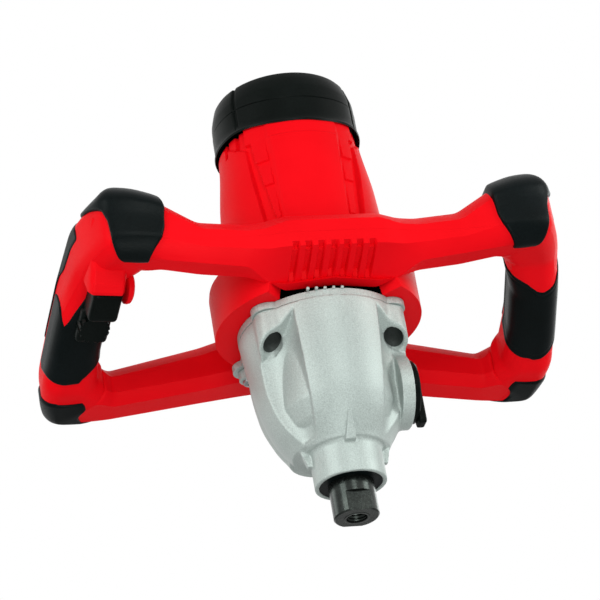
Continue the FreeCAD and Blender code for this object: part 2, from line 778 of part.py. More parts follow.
EARS = [
    (side * size(x), sign * size(y))
    for x, y, sign in (("ear_x", "ear_y", -1), ("rear_ear_x", "rear_ear_y", 1))
    for side in (-1, 1)
]
flutes = []
for x, y in EARS[:2]:
    stretch = (size("flute_reach") + size("flute_radius")) / math.hypot(x, y - motor_y)
    flutes.append(drum_solid(size("flute_radius"), stick, size("ear_foot"), x * stretch,
                             motor_y + (y - motor_y) * stretch))
ear_posts = [drum_solid(size("ear_radius"), size("ear_foot"), joint, x, y) for x, y in EARS]

FIN_WIDTH = 4.0
fin_outline = Part.makePolygon([
    Vector(size("neck_radius") - 1, 0, stick + 9),
    Vector(size("neck_radius") - 1, 0, neck_top + 5),
    Vector(size("shoulder_radius") + 3, 0, neck_top + 5),
    Vector(size("neck_radius") - 1, 0, stick + 9),
])
fin_form = Part.Face(fin_outline).extrude(Vector(0, FIN_WIDTH, 0))
fin_form.translate(Vector(0, -FIN_WIDTH / 2.0, 0))
fins = []
for angle in (-90, 0, 180):
    fin = fin_form.copy()
    fin.rotate(Vector(0, 0, 0), Vector(0, 0, 1), angle)
    fins.append(fin)

main_cavity = spun([
    (0.0, stick - 1.0),
    (size("seal_radius"), stick - 1.0),
    (size("seal_radius"), seal_top),
    (size("low_bearing_radius"), seal_top),
    (size("low_bearing_radius"), low_bearing_top),
    (size("low_bearing_radius") - 4.0, low_bearing_top),
    (size("low_bearing_radius") - 4.0, size("gear_floor")),
    (size("low_bearing_radius") - 1.0, size("gear_floor")),
    (size("cavity_radius"), POT_HEIGHT - 2.0, size("cavity_radius") - 4.5, POT_ARC_HEIGHT + 1.0),
    (size("cavity_radius"), joint),
    (0.0, joint),
])
upper_cavity = drum_solid(size("upper_cavity_radius"), bracket_z, joint, 0.0, motor_y)
lay_bearing_top = lay_low + size("lay_low_width")
bulge_cavity = spun([
    (0.0, lay_low),
    (size("lay_low_radius"), lay_low),
    (size("lay_low_radius"), lay_bearing_top),
    (size("lower_bulge_cavity"), lay_bearing_top),
    (size("lower_bulge_cavity"), bracket_z),
    (size("upper_bulge_cavity"), bracket_z),
    (size("upper_bulge_cavity"), joint),
    (0.0, joint),
], lay_y)
well_top = size("ear_foot") + size("well_depth")
bolt_hole = size("bolt_radius") + 0.2
wells = [drum_solid(size("well_radius"), size("ear_foot") - 16.0, well_top, x, y) for x, y in EARS]
bolt_holes = [drum_solid(bolt_hole, well_top, joint, x, y) for x, y in EARS]
selector_bore = Part.makeCylinder(size("selector_shaft_radius") + fit, 40.0,
                                  Vector(20, 0, selector_z), Vector(1, 0, 0))
CRANK_RIM = 1.5
CRANK_THICKNESS = 2.0
FORK_BLOCK_HALF_WIDTH = 5.5
FORK_BLOCK_HALF_HEIGHT = 4.2
crank_foot = size("fork_block_outer") + 0.6
crank_pocket = Part.makeCylinder(size("selector_shaft_radius") + CRANK_RIM + 0.3,
                                 crank_foot + CRANK_THICKNESS - 19.7,
                                 Vector(20, 0, selector_z), Vector(1, 0, 0))
fork_pocket = Part.makeBox(
    size("fork_block_outer") - 19.7, 2 * FORK_BLOCK_HALF_WIDTH + 0.6,
    2 * FORK_BLOCK_HALF_HEIGHT + size("shift_travel") + 0.6,
    Vector(20, -FORK_BLOCK_HALF_WIDTH - 0.3,
           selector_z - size("shift_travel") / 2.0 - FORK_BLOCK_HALF_HEIGHT - 0.3))
knob_recess = Part.makeCylinder(size("knob_radius") + 1.0, 30.0,
                                Vector(size("selector_boss_face"), 0, selector_z), Vector(1, 0, 0))
BRACKET_SCREWS = [(side * x, y) for x, y in ((30.5, 10.0), (25.5, 30.0)) for side in (-1, 1)]
bracket_threads = [drum_solid(1.7, bracket_z - 9.0, bracket_z, x, y) for x, y in BRACKET_SCREWS]

housing = main_form.fuse([neck_form, pot_form, bulge_form] + fins)
housing = housing.cut(flutes).fuse(ear_posts + [selector_boss])
housing = housing.cut([main_cavity, upper_cavity, bulge_cavity])
housing = housing.cut([selector_bore, crank_pocket, fork_pocket, knob_recess])
housing = housing.cut(wells + bolt_holes + bracket_threads)
keep(shaped("gear_housing_cast", housing), "gear_housing")

bracket_top = bracket_z + size("top_bearing_width")
bracket = drum_solid(size("upper_cavity_radius") - 0.3, bracket_z, bracket_top, 0.0, motor_y).fuse([
    drum_solid(size("cavity_radius") - 0.3, bracket_z, bracket_top),
    drum_solid(size("upper_bulge_cavity") - 0.3, bracket_z, bracket_top, 0.0, lay_y),
])
bracket = bracket.cut(
    [drum_solid(size("top_bearing_radius"), bracket_z, bracket_top),
     drum_solid(seat_radius + 2.0, bracket_z, bracket_top, 0.0, lay_y)]
    + [drum_solid(1.7, bracket_z, bracket_top, x, y) for x, y in BRACKET_SCREWS]
)
keep(shaped("bracket_plate", bracket.removeSplitter()), "gear_bracket")


def screw_solid(x, y, seat, head_radius, head_height, radius, length, head_up=True):
    """A screw with its head bearing on the seat height and its shank running away from it."""
    sign = 1.0 if head_up else -1.0
    head = Part.makeCylinder(head_radius, head_height, Vector(x, y, seat), Vector(0, 0, sign))
    shank = Part.makeCylinder(radius, length, Vector(x, y, seat), Vector(0, 0, -sign))
    drive = Part.makeCylinder(head_radius * 0.45, head_height * 0.6,
                              Vector(x, y, seat + sign * head_height), Vector(0, 0, -sign))
    return head.fuse(shank).cut(drive).removeSplitter()


small_screws = [screw_solid(x, y, bracket_top, 2.8, 1.2, 1.5, size("top_bearing_width") + 8.0)
                for x, y in BRACKET_SCREWS]
keep(shaped("bracket_screw_set", Part.makeCompound(small_screws)), "bracket_screws")

# Bearing plate: closes the gear housing and carries the armature's foot and the layshaft's head.
plate_top = joint + size("plate_thickness")
hub_top = armature_seat + size("rotor_low_width")
lay_hub_foot = joint - size("lay_top_width")
plate = drum_solid(size("collar_radius"), joint, plate_top, 0.0, motor_y).fuse(
    [drum_solid(size("bulge_radius"), joint, plate_top, 0.0, lay_y),
     drum_solid(size("plate_hub_radius"), joint - 3.0, hub_top, 0.0, motor_y),
     drum_solid(size("lay_top_radius") + 3.0, lay_hub_foot, joint, 0.0, lay_y)]
    + [drum_solid(size("ear_radius"), joint, plate_top, x, y) for x, y in EARS]
)
plate = plate.cut(
    [drum_solid(size("rotor_low_radius"), armature_seat, hub_top, 0.0, motor_y),
     drum_solid(size("rotor_low_radius") - 4.0, joint - 3.0, armature_seat, 0.0, motor_y),
     drum_solid(size("lay_top_radius"), lay_hub_foot, joint, 0.0, lay_y)]
    + [drum_solid(bolt_hole, joint, plate_top, x, y) for x, y in EARS]
)
keep(shaped("bearing_plate_cast", plate.removeSplitter()), "bearing_plate")

# Gear selector: knob and crank on the right side, a fork that carries the shift sleeve.
crank_offset = size("shift_travel") / 2.0
block_inner = size("fork_block_inner")
block_outer = size("fork_block_outer")
pin_radius = size("crank_pin_radius")
crank_pin = Part.makeCylinder(pin_radius, block_outer - block_inner + 2.0,
                              Vector(block_inner, 0, selector_z + crank_offset), Vector(1, 0, 0))
crank_disc = Part.makeCylinder(size("selector_shaft_radius") + CRANK_RIM, CRANK_THICKNESS,
                               Vector(crank_foot, 0, selector_z), Vector(1, 0, 0))
knob_face = size("selector_boss_face") + size("part_gap")
knob_outer = knob_face + size("knob_thickness")
crank_shaft = Part.makeCylinder(size("selector_shaft_radius"), knob_outer - 1.0 - crank_foot,
                                Vector(crank_foot, 0, selector_z), Vector(1, 0, 0))
keep(shaped("selector_crank", crank_pin.fuse([crank_disc, crank_shaft]).removeSplitter()), "selector_shaft")

SELECTOR_HEIGHT = ("high_gear_height + high_gear_width + clutch_gap + sleeve_width * 0.5"
                   " - shift_travel * 0.5")
knob_disc = turned("knob_disc", [
    ("0", "knob_thickness - 1"),
    ("selector_shaft_radius", "knob_thickness - 1"),
    ("selector_shaft_radius", "0"),
    ("knob_radius", "0"),
    ("knob_radius", "knob_thickness - 1.5"),
    ("knob_radius - 1.5", "knob_thickness"),
    ("0", "knob_thickness"),
])
place(knob_disc, "selector_boss_face + part_gap", "0", SELECTOR_HEIGHT, ALONG_X)
knob_bar = block("knob_bar", "knob_bar_height", "knob_bar_width", "knob_radius * 2 - 4",
                 "selector_boss_face + part_gap + knob_thickness - 0.5", "-knob_bar_width * 0.5",
                 SELECTOR_HEIGHT + " - knob_radius + 2")
keep(joined("knob_moulding", [knob_disc, knob_bar]), "selector_knob")

fork_mid = (groove_low + groove_high) / 2.0
fork_low = fork_mid - size("fork_thickness") / 2.0
fork_high = fork_mid + size("fork_thickness") / 2.0
fork = drum_solid(size("fork_radius"), fork_low, fork_high)
fork = fork.cut([
    drum_solid(size("sleeve_groove_radius") + 0.3, fork_low, fork_high),
    Part.makeBox(60, 60, 20, Vector(-60 - 2, -30, fork_low - 5)),
])
fork_arm = Part.makeBox(block_outer - 17.0, 9.0, size("fork_thickness"), Vector(17.0, -4.5, fork_low))
fork_block = Part.makeBox(block_outer - block_inner, 2 * FORK_BLOCK_HALF_WIDTH, 2 * FORK_BLOCK_HALF_HEIGHT,
                          Vector(block_inner, -FORK_BLOCK_HALF_WIDTH, fork_mid - FORK_BLOCK_HALF_HEIGHT))
slot_half = pin_radius + 0.6
crank_slot = Part.makeBox(block_outer - block_inner + 2, 2 * (crank_offset + slot_half), 2 * slot_half,
                          Vector(block_inner - 1, -crank_offset - slot_half, fork_mid - slot_half))
fork = fork.fuse([fork_arm, fork_block]).cut(crank_slot)
keep(shaped("shift_fork_plate", fork.removeSplitter()), "shift_fork")

# Motor housing: drum around the fan, barrel around the motor, a spigot that the cap slips over.
drum_foot = plate_top
drum_top = drum_foot + size("drum_height")
drum_wall = size("drum_wall")
barrel_top = size("barrel_top")
drum_radius = size("drum_radius")
cap_edge = size("cap_edge_height")
half_space = Part.makeBox(300, 300, 300, Vector(-150, -150, 0))
half_space.rotate(Vector(0, 0, 0), Vector(1, 0, 0), size("cap_tilt"))
above_edge = half_space.copy()
above_edge.translate(Vector(0, motor_y, cap_edge))
motor_form = spun([
    (0.0, drum_foot),
    (drum_radius - 3.0, drum_foot),
    (drum_radius, drum_foot + 3.0),
    (drum_radius, drum_top - 2.0),
    (drum_radius - 2.0, drum_top),
    (size("barrel_foot_radius"), drum_top),
    (size("barrel_top_radius"), barrel_top + 10.0),
    (0.0, barrel_top + 10.0),
], motor_y)
motor_form = motor_form.cut(above_edge).fuse(
    drum_solid(size("spigot_radius"), drum_top, barrel_top, 0.0, motor_y))
FRAME_SCREWS = [(side * x, motor_y + y) for x, y in ((20.0, -50.0), (16.0, 51.5)) for side in (-1, 1)]
frame_bosses = [drum_solid(4.5, drum_top - 12.0, drum_top - drum_wall, x, y) for x, y in FRAME_SCREWS]
frame_threads = [drum_solid(size("screw_radius") + 0.1, drum_top - 10.0, drum_top, x, y)
                 for x, y in FRAME_SCREWS]
BOSS_HEIGHT = 4.0
ear_bosses = [drum_solid(6.0, drum_foot, drum_foot + drum_wall + BOSS_HEIGHT, x, y) for x, y in EARS]
ear_threads = [drum_solid(bolt_hole, drum_foot, drum_foot + drum_wall + BOSS_HEIGHT - 0.5, x, y)
               for x, y in EARS]
fan_room = drum_solid(drum_radius - drum_wall, drum_foot + drum_wall, drum_top - drum_wall, 0.0, motor_y)
motor_room = drum_solid(size("barrel_bore"), drum_top - drum_wall, barrel_top, 0.0, motor_y)
hub_room = drum_solid(size("plate_hub_radius") + 0.3, drum_foot, drum_foot + drum_wall, 0.0, motor_y)
outlet_top = drum_foot + size("outlet_height")
outlet_front = motor_y - size("outlet_reach")
outlet = Part.makeBox(2 * drum_radius, drum_radius, size("outlet_height"),
                      Vector(-drum_radius, outlet_front - drum_radius, drum_foot))
front_of_fan = Part.makeBox(2 * drum_radius, drum_radius, size("drum_height"),
                            Vector(-drum_radius, outlet_front - drum_radius, drum_foot))
outlet_roof = drum_solid(drum_radius, outlet_top, outlet_top + drum_wall - 0.5, 0.0, motor_y).cut(
    drum_solid(size("fan_radius") + 1.5, outlet_top, outlet_top + drum_wall, 0.0, motor_y))
outlet_roof = outlet_roof.common(front_of_fan)
bridge_room = drum_solid(size("spigot_radius"), barrel_top, barrel_top + 10.0, 0.0, motor_y)
motor_case = motor_form.cut([fan_room, motor_room, hub_room, bridge_room]).fuse(outlet_roof).cut(outlet)
motor_case = motor_case.fuse(frame_bosses + ear_bosses).cut(frame_threads + ear_threads)
keep(shaped("motor_case_moulding", motor_case.removeSplitter()), "motor_housing")

housing_bolts = [
    screw_solid(x, y, well_top, size("bolt_head_radius"), size("bolt_head_height"), size("bolt_radius"),
                drum_foot + drum_wall + BOSS_HEIGHT - 1.0 - well_top, head_up=False)
    for x, y in EARS
]
keep(shaped("housing_bolt_set", Part.makeCompound(housing_bolts)), "gear_housing_screws")

# Top cap: black cup over the spigot, its lower edge tilted down towards the front.
cap_top = size("cap_top")
cap_radius = size("cap_radius")
cap_inner_top = cap_top - size("cap_wall")
POST_REACH = 33.0
POST_ANGLES = [math.radians(angle) for angle in (0, 120, 240)]
CAP_POSTS = [(POST_REACH * math.cos(angle), motor_y + POST_REACH * math.sin(angle)) for angle in POST_ANGLES]
below_edge = Part.makeBox(300, 300, 300, Vector(-150, -150, -300))
below_edge.rotate(Vector(0, 0, 0), Vector(1, 0, 0), size("cap_tilt"))
below_edge.translate(Vector(0, motor_y, cap_edge + size("part_gap")))
cap = spun([
    (0.0, barrel_top - 20.0),
    (cap_radius, barrel_top - 20.0),
    (cap_radius, cap_top - 5.0),
    (cap_radius - 4.0, cap_top),
    (0.0, cap_top),
], motor_y)
cap_room = drum_solid(size("spigot_radius") + 0.2, barrel_top - 20.0, cap_inner_top, 0.0, motor_y)
cap = cap.cut([below_edge, cap_room])
cap = cap.fuse([drum_solid(4.6, bridge_top, cap_inner_top, x, y) for x, y in CAP_POSTS])
CAP_SEAT = 7.0
cap_holes = []
for x, y in CAP_POSTS:
    cap_holes.append(drum_solid(size("screw_head_radius") + 0.3, cap_top - CAP_SEAT, cap_top, x, y))
    cap_holes.append(drum_solid(size("screw_radius") + 0.1, bridge_top, cap_top, x, y))
inlet_slots = []
for index in range(9):
    slot = Part.makeBox(8.0, 4.0, 12.0, Vector(cap_radius - 6.0, -2.0, cap_top - 20.0))
    slot.rotate(Vector(0, 0, 0), Vector(0, 0, 1), 90 + (index - 4) * 11.0)
    inlet_slots.append(on_motor_axis(slot))
seams = []
for angle in (-140, -40):
    seam = Part.makeBox(6.0, 1.8, 40.0, Vector(cap_radius - 1.0, -0.9, cap_top - 40.0))
    seam.rotate(Vector(0, 0, 0), Vector(0, 0, 1), angle)
    seams.append(on_motor_axis(seam))
cap = cap.cut(cap_holes + inlet_slots + seams)
keep(shaped("cap_moulding", cap.removeSplitter()), "top_cap")
cap_screws = [
    screw_solid(x, y, cap_top - CAP_SEAT, size("screw_head_radius"), size("screw_head_height"),
                size("screw_radius"), cap_top - CAP_SEAT - bridge_top - 0.2)
    for x, y in CAP_POSTS
]
keep(shaped("cap_screw_set", Part.makeCompound(cap_screws)), "cap_screws")


# Handle frame: a closed tubular loop lofted through upright rounded sections, front to rear, right
# half first. Each station gives the section's centre, the way it faces, half width, half height
# and corner radius.
grip_rise = size("corner_height") - size("grip_rear_height")
grip_run = size("grip_rear_y") + size("grip_front_y")


def grip_height(y):
    """Height of the sloping grip's centre line."""
    return size("corner_height") - grip_rise * (y + size("grip_front_y")) / grip_run


STATIONS = [
    (0.0, -size("yoke_front") + size("yoke_depth") / 2, size("yoke_height"), 0,
     size("yoke_depth") / 2, size("yoke_half_height"), 6.0),
    (size("yoke_half_width"), -size("yoke_front") + size("yoke_depth") / 2, size("yoke_height"), 0,
     size("yoke_depth") / 2, size("yoke_half_height"), 6.0),
    (size("yoke_half_width") + 14, -size("arm_front") + size("arm_depth") / 2, size("arm_height") - 4, 0,
     size("arm_depth") / 2, size("arm_half_height") + 1.5, 6.0),
    (89.0, -size("arm_front") + size("arm_depth") / 2, size("arm_height"), 0,
     size("arm_depth") / 2, size("arm_half_height"), 6.0),
    (97.0, -size("arm_front") + size("arm_depth") / 2 - 1, size("arm_height") + 6.5, 0,
     size("arm_depth") / 2 + 1, size("arm_half_height") + 6.5, 6.0),
    (size("corner_x"), -size("corner_y"), size("corner_height"), 40,
     size("corner_half_height"), size("corner_half_height"), 8.0),
    (size("grip_front_x"), -size("grip_front_y"), size("corner_height"), 85,
     size("grip_half_width") + 0.5, size("grip_half_height") + 1.5, 9.0),
    (size("grip_middle_x"), 8.0, grip_height(8.0), 90,
     size("grip_half_width"), size("grip_half_height"), 11.0),
    (size("grip_middle_x") + 3.5, 36.0, grip_height(36.0), 90,
     size("grip_half_width"), size("grip_half_height"), 11.0),
    (size("grip_rear_x"), size("grip_rear_y"), size("grip_rear_height"), 90,
     size("grip_half_width") + 0.5, size("grip_half_height") - 1.0, 10.0),
    (size("rear_corner_x"), size("rear_corner_y"), size("rear_corner_height"), 135,
     size("rear_bar_half_depth") * 1.3, size("rear_bar_half_height") + 2.0, 8.0),
    (113.0, size("rear_bar_y") + 1, size("rear_corner_height") + 1.5, 180,
     size("rear_bar_half_depth"), size("rear_bar_half_height"), 6.0),
    (58.0, size("rear_bar_y") - 1, size("rear_yoke_height") - 13, 180,
     size("rear_bar_half_depth"), size("rear_bar_half_height"), 6.0),
    (36.0, size("rear_bar_y") - 3, size("rear_yoke_height") - 3, 180,
     size("rear_bar_half_depth") + 2, size("rear_bar_half_height") + 1, 6.0),
    (0.0, size("rear_bar_y") - 5, size("rear_yoke_height"), 180,
     size("rear_bar_half_depth") + 5, size("rear_bar_half_height") + 2.5, 6.0),
]


def frame_section(station, growth):
    """One rounded-rectangle section, grown or shrunk by the given amount."""
    x, y, z, facing, half_width, half_height, corner = station
    out = Vector(math.sin(math.radians(facing)), -math.cos(math.radians(facing)), 0)
    up = Vector(0, 0, 1)
    centre = Vector(x, y, z)
    half_width += growth
    half_height += growth
    corner = max(corner + growth, 1.0)
    edges = []
    for across, along in ((1, 1), (-1, 1), (-1, -1), (1, -1)):
        hub = centre + out * (across * (half_width - corner)) + up * (along * (half_height - corner))
        side = hub + out * (across * corner)
        cap_point = hub + up * (along * corner)
        middle = hub + (out * across + up * along) * (corner / math.sqrt(2.0))
        ends = (side, cap_point) if across * along > 0 else (cap_point, side)
        if edges:
            edges.append(Part.makeLine(last, ends[0]))
        else:
            first = ends[0]
        edges.append(Part.Arc(ends[0], middle, ends[1]).toShape())
        last = ends[1]
    edges.append(Part.makeLine(last, first))
    return Part.Wire(edges)


def frame_loop(growth):
    """The whole loop, grown or shrunk."""
    half = Part.makeLoft([frame_section(station, growth) for station in STATIONS], True, True)
    return half.fuse(mirrored(half)).removeSplitter()


def side_prism(corners, x_low, x_high):
    """A prism across X over an outline in (y, height)."""
    points = [Vector(x_low, y, z) for y, z in corners]
    return Part.Face(Part.makePolygon(points + points[:1])).extrude(Vector(x_high - x_low, 0, 0))


def plan_prism(corners, low, high):
    """An upright prism over an outline in (x, y)."""
    points = [Vector(x, y, low) for x, y in corners]
    return Part.Face(Part.makePolygon(points + points[:1])).extrude(Vector(0, 0, high - low))


def rear_prism(corners, y_low, y_high):
    """A prism along Y over an outline in (x, height)."""
    points = [Vector(x, y_low, z) for x, z in corners]
    return Part.Face(Part.makePolygon(points + points[:1])).extrude(Vector(0, y_high - y_low, 0))


front_split = size("arm_height") - 0.5
rear_split = size("rear_corner_height") + 3.0
REAR_LIMIT = 62.0


def split_height(y):
    """Height of the joint between the two handle shells along the grips."""
    if y <= -24.0:
        return front_split
    return front_split + (rear_split - front_split) * (y + 24.0) / (REAR_LIMIT + 24.0)


front_lower = side_prism([
    (-120, 60), (-120, front_split), (-24.0, front_split), (REAR_LIMIT, rear_split), (REAR_LIMIT, 60),
], -200, 200)
rear_lower = rear_prism([
    (-200, 60), (-200, rear_split), (-113, rear_split), (-40, size("rear_yoke_height") - 6),
    (40, size("rear_yoke_height") - 6), (113, rear_split), (200, rear_split), (200, 60),
], REAR_LIMIT, 140)
lower_space = front_lower.fuse(rear_lower)

outer_loop = frame_loop(0.0)
hollow_loop = outer_loop.cut(frame_loop(-size("shell_wall")))
skin = outer_loop.cut(frame_loop(-size("pad_depth")))
jacket = frame_loop(size("bumper_depth")).cut(outer_loop)
motor_envelope = drum_solid(drum_radius + 0.3, 90.0, drum_top + 0.3, 0.0, motor_y).fuse(
    drum_solid(size("barrel_foot_radius") + 0.3, drum_top, 230.0, 0.0, motor_y))
outlet_space = Part.makeBox(2 * drum_radius, drum_radius, size("outlet_height") - 0.3,
                            Vector(-drum_radius, outlet_front - 0.3 - drum_radius, drum_foot))
motor_envelope = motor_envelope.cut(outlet_space).fuse(
    drum_solid(size("collar_radius") - 1.0, drum_foot, drum_top, 0.0, motor_y))

SHELL_SCREWS = [
    (side * x, y, seat)
    for x, y, seat in ((70.0, -43.5, 156.0), (125.0, -31.0, 159.0), (138.5, 62.0, 134.0), (80.0, 79.0, 139.0))
    for side in (-1, 1)
]
FRAME_SEAT = drum_top + 3.4
posts = [drum_solid(4.8, 60.0, 230.0, x, y).common(outer_loop) for x, y, seat in SHELL_SCREWS]
lugs = [drum_solid(5.2, drum_top + 0.3, 230.0, x, y).common(outer_loop) for x, y in FRAME_SCREWS]
frame = hollow_loop.fuse(posts + lugs).cut(motor_envelope)

# Controls in the left grip, drawn in a frame that follows the grip's slope and splay.
slope_turn = Rotation(Vector(1, 0, 0), -size("grip_slope"))
splay_turn = Rotation(Vector(0, 0, 1), size("grip_splay"))
grip_frame = Placement(Vector(1.5 - size("grip_middle_x"), 0, grip_height(0.0)),
                       splay_turn.multiply(slope_turn))


def in_grip(shape):
    """A shape drawn along the grip, moved to the left grip."""
    moved = shape.copy()
    moved.Placement = grip_frame.multiply(moved.Placement)
    return moved


def grip_box(x_low, x_high, y_low, y_high, z_low, z_high):
    return Part.makeBox(x_high - x_low, y_high - y_low, z_high - z_low, Vector(x_low, y_low, z_low))


trigger_half = size("trigger_width") / 2.0
trigger_front = -12.0
trigger_back = trigger_front + size("trigger_length")
CARRIER_BACK = 29.0
TRIGGER_TOP = -6.0
DIAL_Y = 17.0
dial_radius = size("dial_radius")
travel = size("trigger_travel")
paddle = grip_box(-trigger_half + 1, trigger_half + 1, trigger_front, trigger_back, -27.0, TRIGGER_TOP)
paddle = paddle.makeFillet(4.0, [edge for edge in paddle.Edges if edge.BoundBox.ZMax < -26.0])
carrier = grip_box(-trigger_half - 1, trigger_half + 1, trigger_back - 2, CARRIER_BACK, -20.0, TRIGGER_TOP)
plunger = Part.makeCylinder(2.5, 8.0, Vector(-1, -8, TRIGGER_TOP))
dial_pocket = Part.makeCylinder(dial_radius + 0.4, 9.0, Vector(0, DIAL_Y, -21.0))
dial_post = Part.makeCylinder(2.0, 7.0, Vector(0, DIAL_Y, -19.0))
trigger = paddle.fuse([carrier, plunger]).cut(dial_pocket).fuse(dial_post)
keep(shaped("trigger_moulding", in_grip(trigger.removeSplitter())), "trigger")

dial = Part.makeCylinder(dial_radius, 11.5, Vector(0, DIAL_Y, -24.0))
notches = []
for index in range(14):
    angle = 2 * math.pi * index / 14
    notches.append(Part.makeCylinder(1.0, 14.0, Vector(dial_radius * math.cos(angle),
                                                       DIAL_Y + dial_radius * math.sin(angle), -25.0)))
dial = dial.cut(notches + [Part.makeCylinder(2.0 + fit, 7.5, Vector(0, DIAL_Y, -19.5))])
keep(shaped("dial_moulding", in_grip(dial)), "speed_dial")

switch = grip_box(-11.0, 7.5, -24.0, 30.0, 0.5, 9.0).cut(Part.makeCylinder(2.8, 8.2, Vector(-1, -8, 0.4)))
keep(shaped("switch_case", in_grip(switch)), "switch_body")

LOCK_Y = 9.0
lock_way = Vector(math.cos(math.radians(30)), 0, math.sin(math.radians(30)))
lock_start = Vector(0, LOCK_Y, 0) + lock_way * 15.0
lock = Part.makeCylinder(size("lock_radius"), 9.3, lock_start, lock_way)
lock_dome = Part.makeCone(size("lock_radius"), size("lock_radius") - 3.0, 3.0,
                          lock_start + lock_way * 9.3, lock_way)
keep(shaped("lock_moulding", in_grip(lock.fuse(lock_dome))), "lock_button")
lock_hole = in_grip(Part.makeCylinder(size("lock_radius") + 0.4, 40.0, lock_start - lock_way * 4.0, lock_way))

OPENING_MARGIN = 1.6
BEZEL_MARGIN = 5.0
opening = in_grip(grip_box(-trigger_half - OPENING_MARGIN, trigger_half + OPENING_MARGIN,
                           trigger_front - 0.6, CARRIER_BACK + 0.6, -40.0, -4.0))
bezel_space = in_grip(grip_box(-trigger_half - BEZEL_MARGIN, trigger_half + BEZEL_MARGIN,
                               trigger_front - 4.0, CARRIER_BACK + 4.0, -40.0, -6.0))

# Guard moulded onto the lower shell: a wall ahead of the trigger and a cheek along its outer side.
GUARD_DEPTH = 9.0
GUARD_FOOT = -26.0
guard_wall = grip_box(-trigger_half - BEZEL_MARGIN, trigger_half + 3.0,
                      trigger_front - GUARD_DEPTH, trigger_front - 0.6, GUARD_FOOT, -12.0)
guard_wall = guard_wall.makeFillet(4.0, [edge for edge in guard_wall.Edges
                                         if edge.BoundBox.ZMax < GUARD_FOOT + 1.0])
cheek_corners = [
    Vector(-trigger_half - BEZEL_MARGIN, y, z)
    for y, z in ((trigger_front - 3.0, -12.0), (trigger_front - 3.0, -24.0), (trigger_back - 4.0, -23.0),
                 (CARRIER_BACK - 4.0, -15.0), (CARRIER_BACK - 4.0, -12.0))
]
cheek = Part.Face(Part.makePolygon(cheek_corners + cheek_corners[:1])).extrude(
    Vector(BEZEL_MARGIN - OPENING_MARGIN - 0.1, 0, 0))
guard = in_grip(guard_wall.fuse(cheek)).cut(opening)
cradle = [in_grip(grip_box(-13.0, 13.0, y, y + 2.0, -30.0, 8.0)) for y in (-26.3, 30.3)]

# Rubber and soft-grip pieces, cut from the same loop so that they sit flush or wrap its surface.
front_corner = plan_prism([(97, -95), (165, -95), (165, -24), (136, -24), (117, -40), (97, -46)], 138, 215)
rear_corner = plan_prism([(116, 84), (116, 120), (175, 120), (175, 66), (148, 66), (136, 78)], 90, 121)
PAD_FRONT = 4.0
PAD_REAR = 56.0
lower_pad_space = side_prism([
    (PAD_FRONT, 60), (PAD_FRONT, split_height(PAD_FRONT) - 2),
    (PAD_REAR, split_height(PAD_REAR) - 2), (PAD_REAR, 60),
], 100, 200)
TOP_FRONT = -16.0
TOP_REAR = 50.0
upper_pad_space = side_prism([
    (TOP_FRONT, 230), (TOP_FRONT, split_height(TOP_FRONT) + 8),
    (TOP_REAR, split_height(TOP_REAR) + 8), (TOP_REAR, 230),
], 100, 200)


def largest(shape):
    """The biggest solid of a cut shape."""
    return max(shape.Solids, key=lambda solid: solid.Volume)


bumpers = {}
for label, space in (("front_bumper", front_corner), ("rear_bumper", rear_corner)):
    bumpers["right_" + label] = jacket.common(space)
    bumpers["left_" + label] = jacket.common(mirrored(space))
for label, shape in bumpers.items():
    keep(shaped(label + "_moulding", shape), label)

bezel = skin.common(bezel_space).common(lower_space).cut([opening, guard])
pads = {
    "right_lower_grip_pad": skin.common(lower_pad_space),
    "left_lower_grip_pad": largest(skin.common(mirrored(lower_pad_space)).cut(bezel_space)),
    "right_upper_grip_pad": skin.common(upper_pad_space),
    "left_upper_grip_pad": skin.common(mirrored(upper_pad_space)).cut(lock_hole),
    "trigger_bezel": bezel,
}
for label, shape in pads.items():
    keep(shaped(label + "_moulding", shape), label)

# Cable inlet in the rear wall of the frame, empty: the cord itself is not part of this object.
GLAND_X = -30.0
gland_z = size("rear_yoke_height") - 4.0
wall_outer = size("rear_bar_y") - 3.0 + size("rear_bar_half_depth") + 2.5
wall_inner = wall_outer - size("shell_wall")


def along_rear(radius, y_low, y_high):
    return Part.makeCylinder(radius, y_high - y_low, Vector(GLAND_X, y_low, gland_z), Vector(0, 1, 0))


gland = along_rear(size("gland_radius"), wall_inner - 4.0, wall_outer + 8.0)
gland = gland.fuse(along_rear(size("gland_radius") + 1.3, wall_inner - 4.0, wall_inner - 1.6))
gland = gland.cut(along_rear(size("cable_radius"), wall_inner - 10.0, wall_outer + 20.0))
keep(shaped("gland_moulding", gland.removeSplitter()), "cable_gland")
gland_hole = along_rear(size("gland_radius") + 0.2, wall_inner - 5.0, wall_outer + 5.0)

# Vent slots in the front yoke, below its middle.
VENT_COUNT = 7
VENT_PITCH = 7.4
VENT_WIDTH = 3.6
VENT_RUN = 22.0
VENT_RISE = 8.5
yoke_foot = size("yoke_height") - size("yoke_half_height")
yoke_vents = []
for index in range(VENT_COUNT):
    vent_x = (index - VENT_COUNT // 2) * VENT_PITCH - VENT_WIDTH / 2.0
    yoke_vents.append(Part.makeBox(VENT_WIDTH, VENT_RUN, VENT_RISE,
                                   Vector(vent_x, -size("yoke_front") - 1, yoke_foot - 1)))

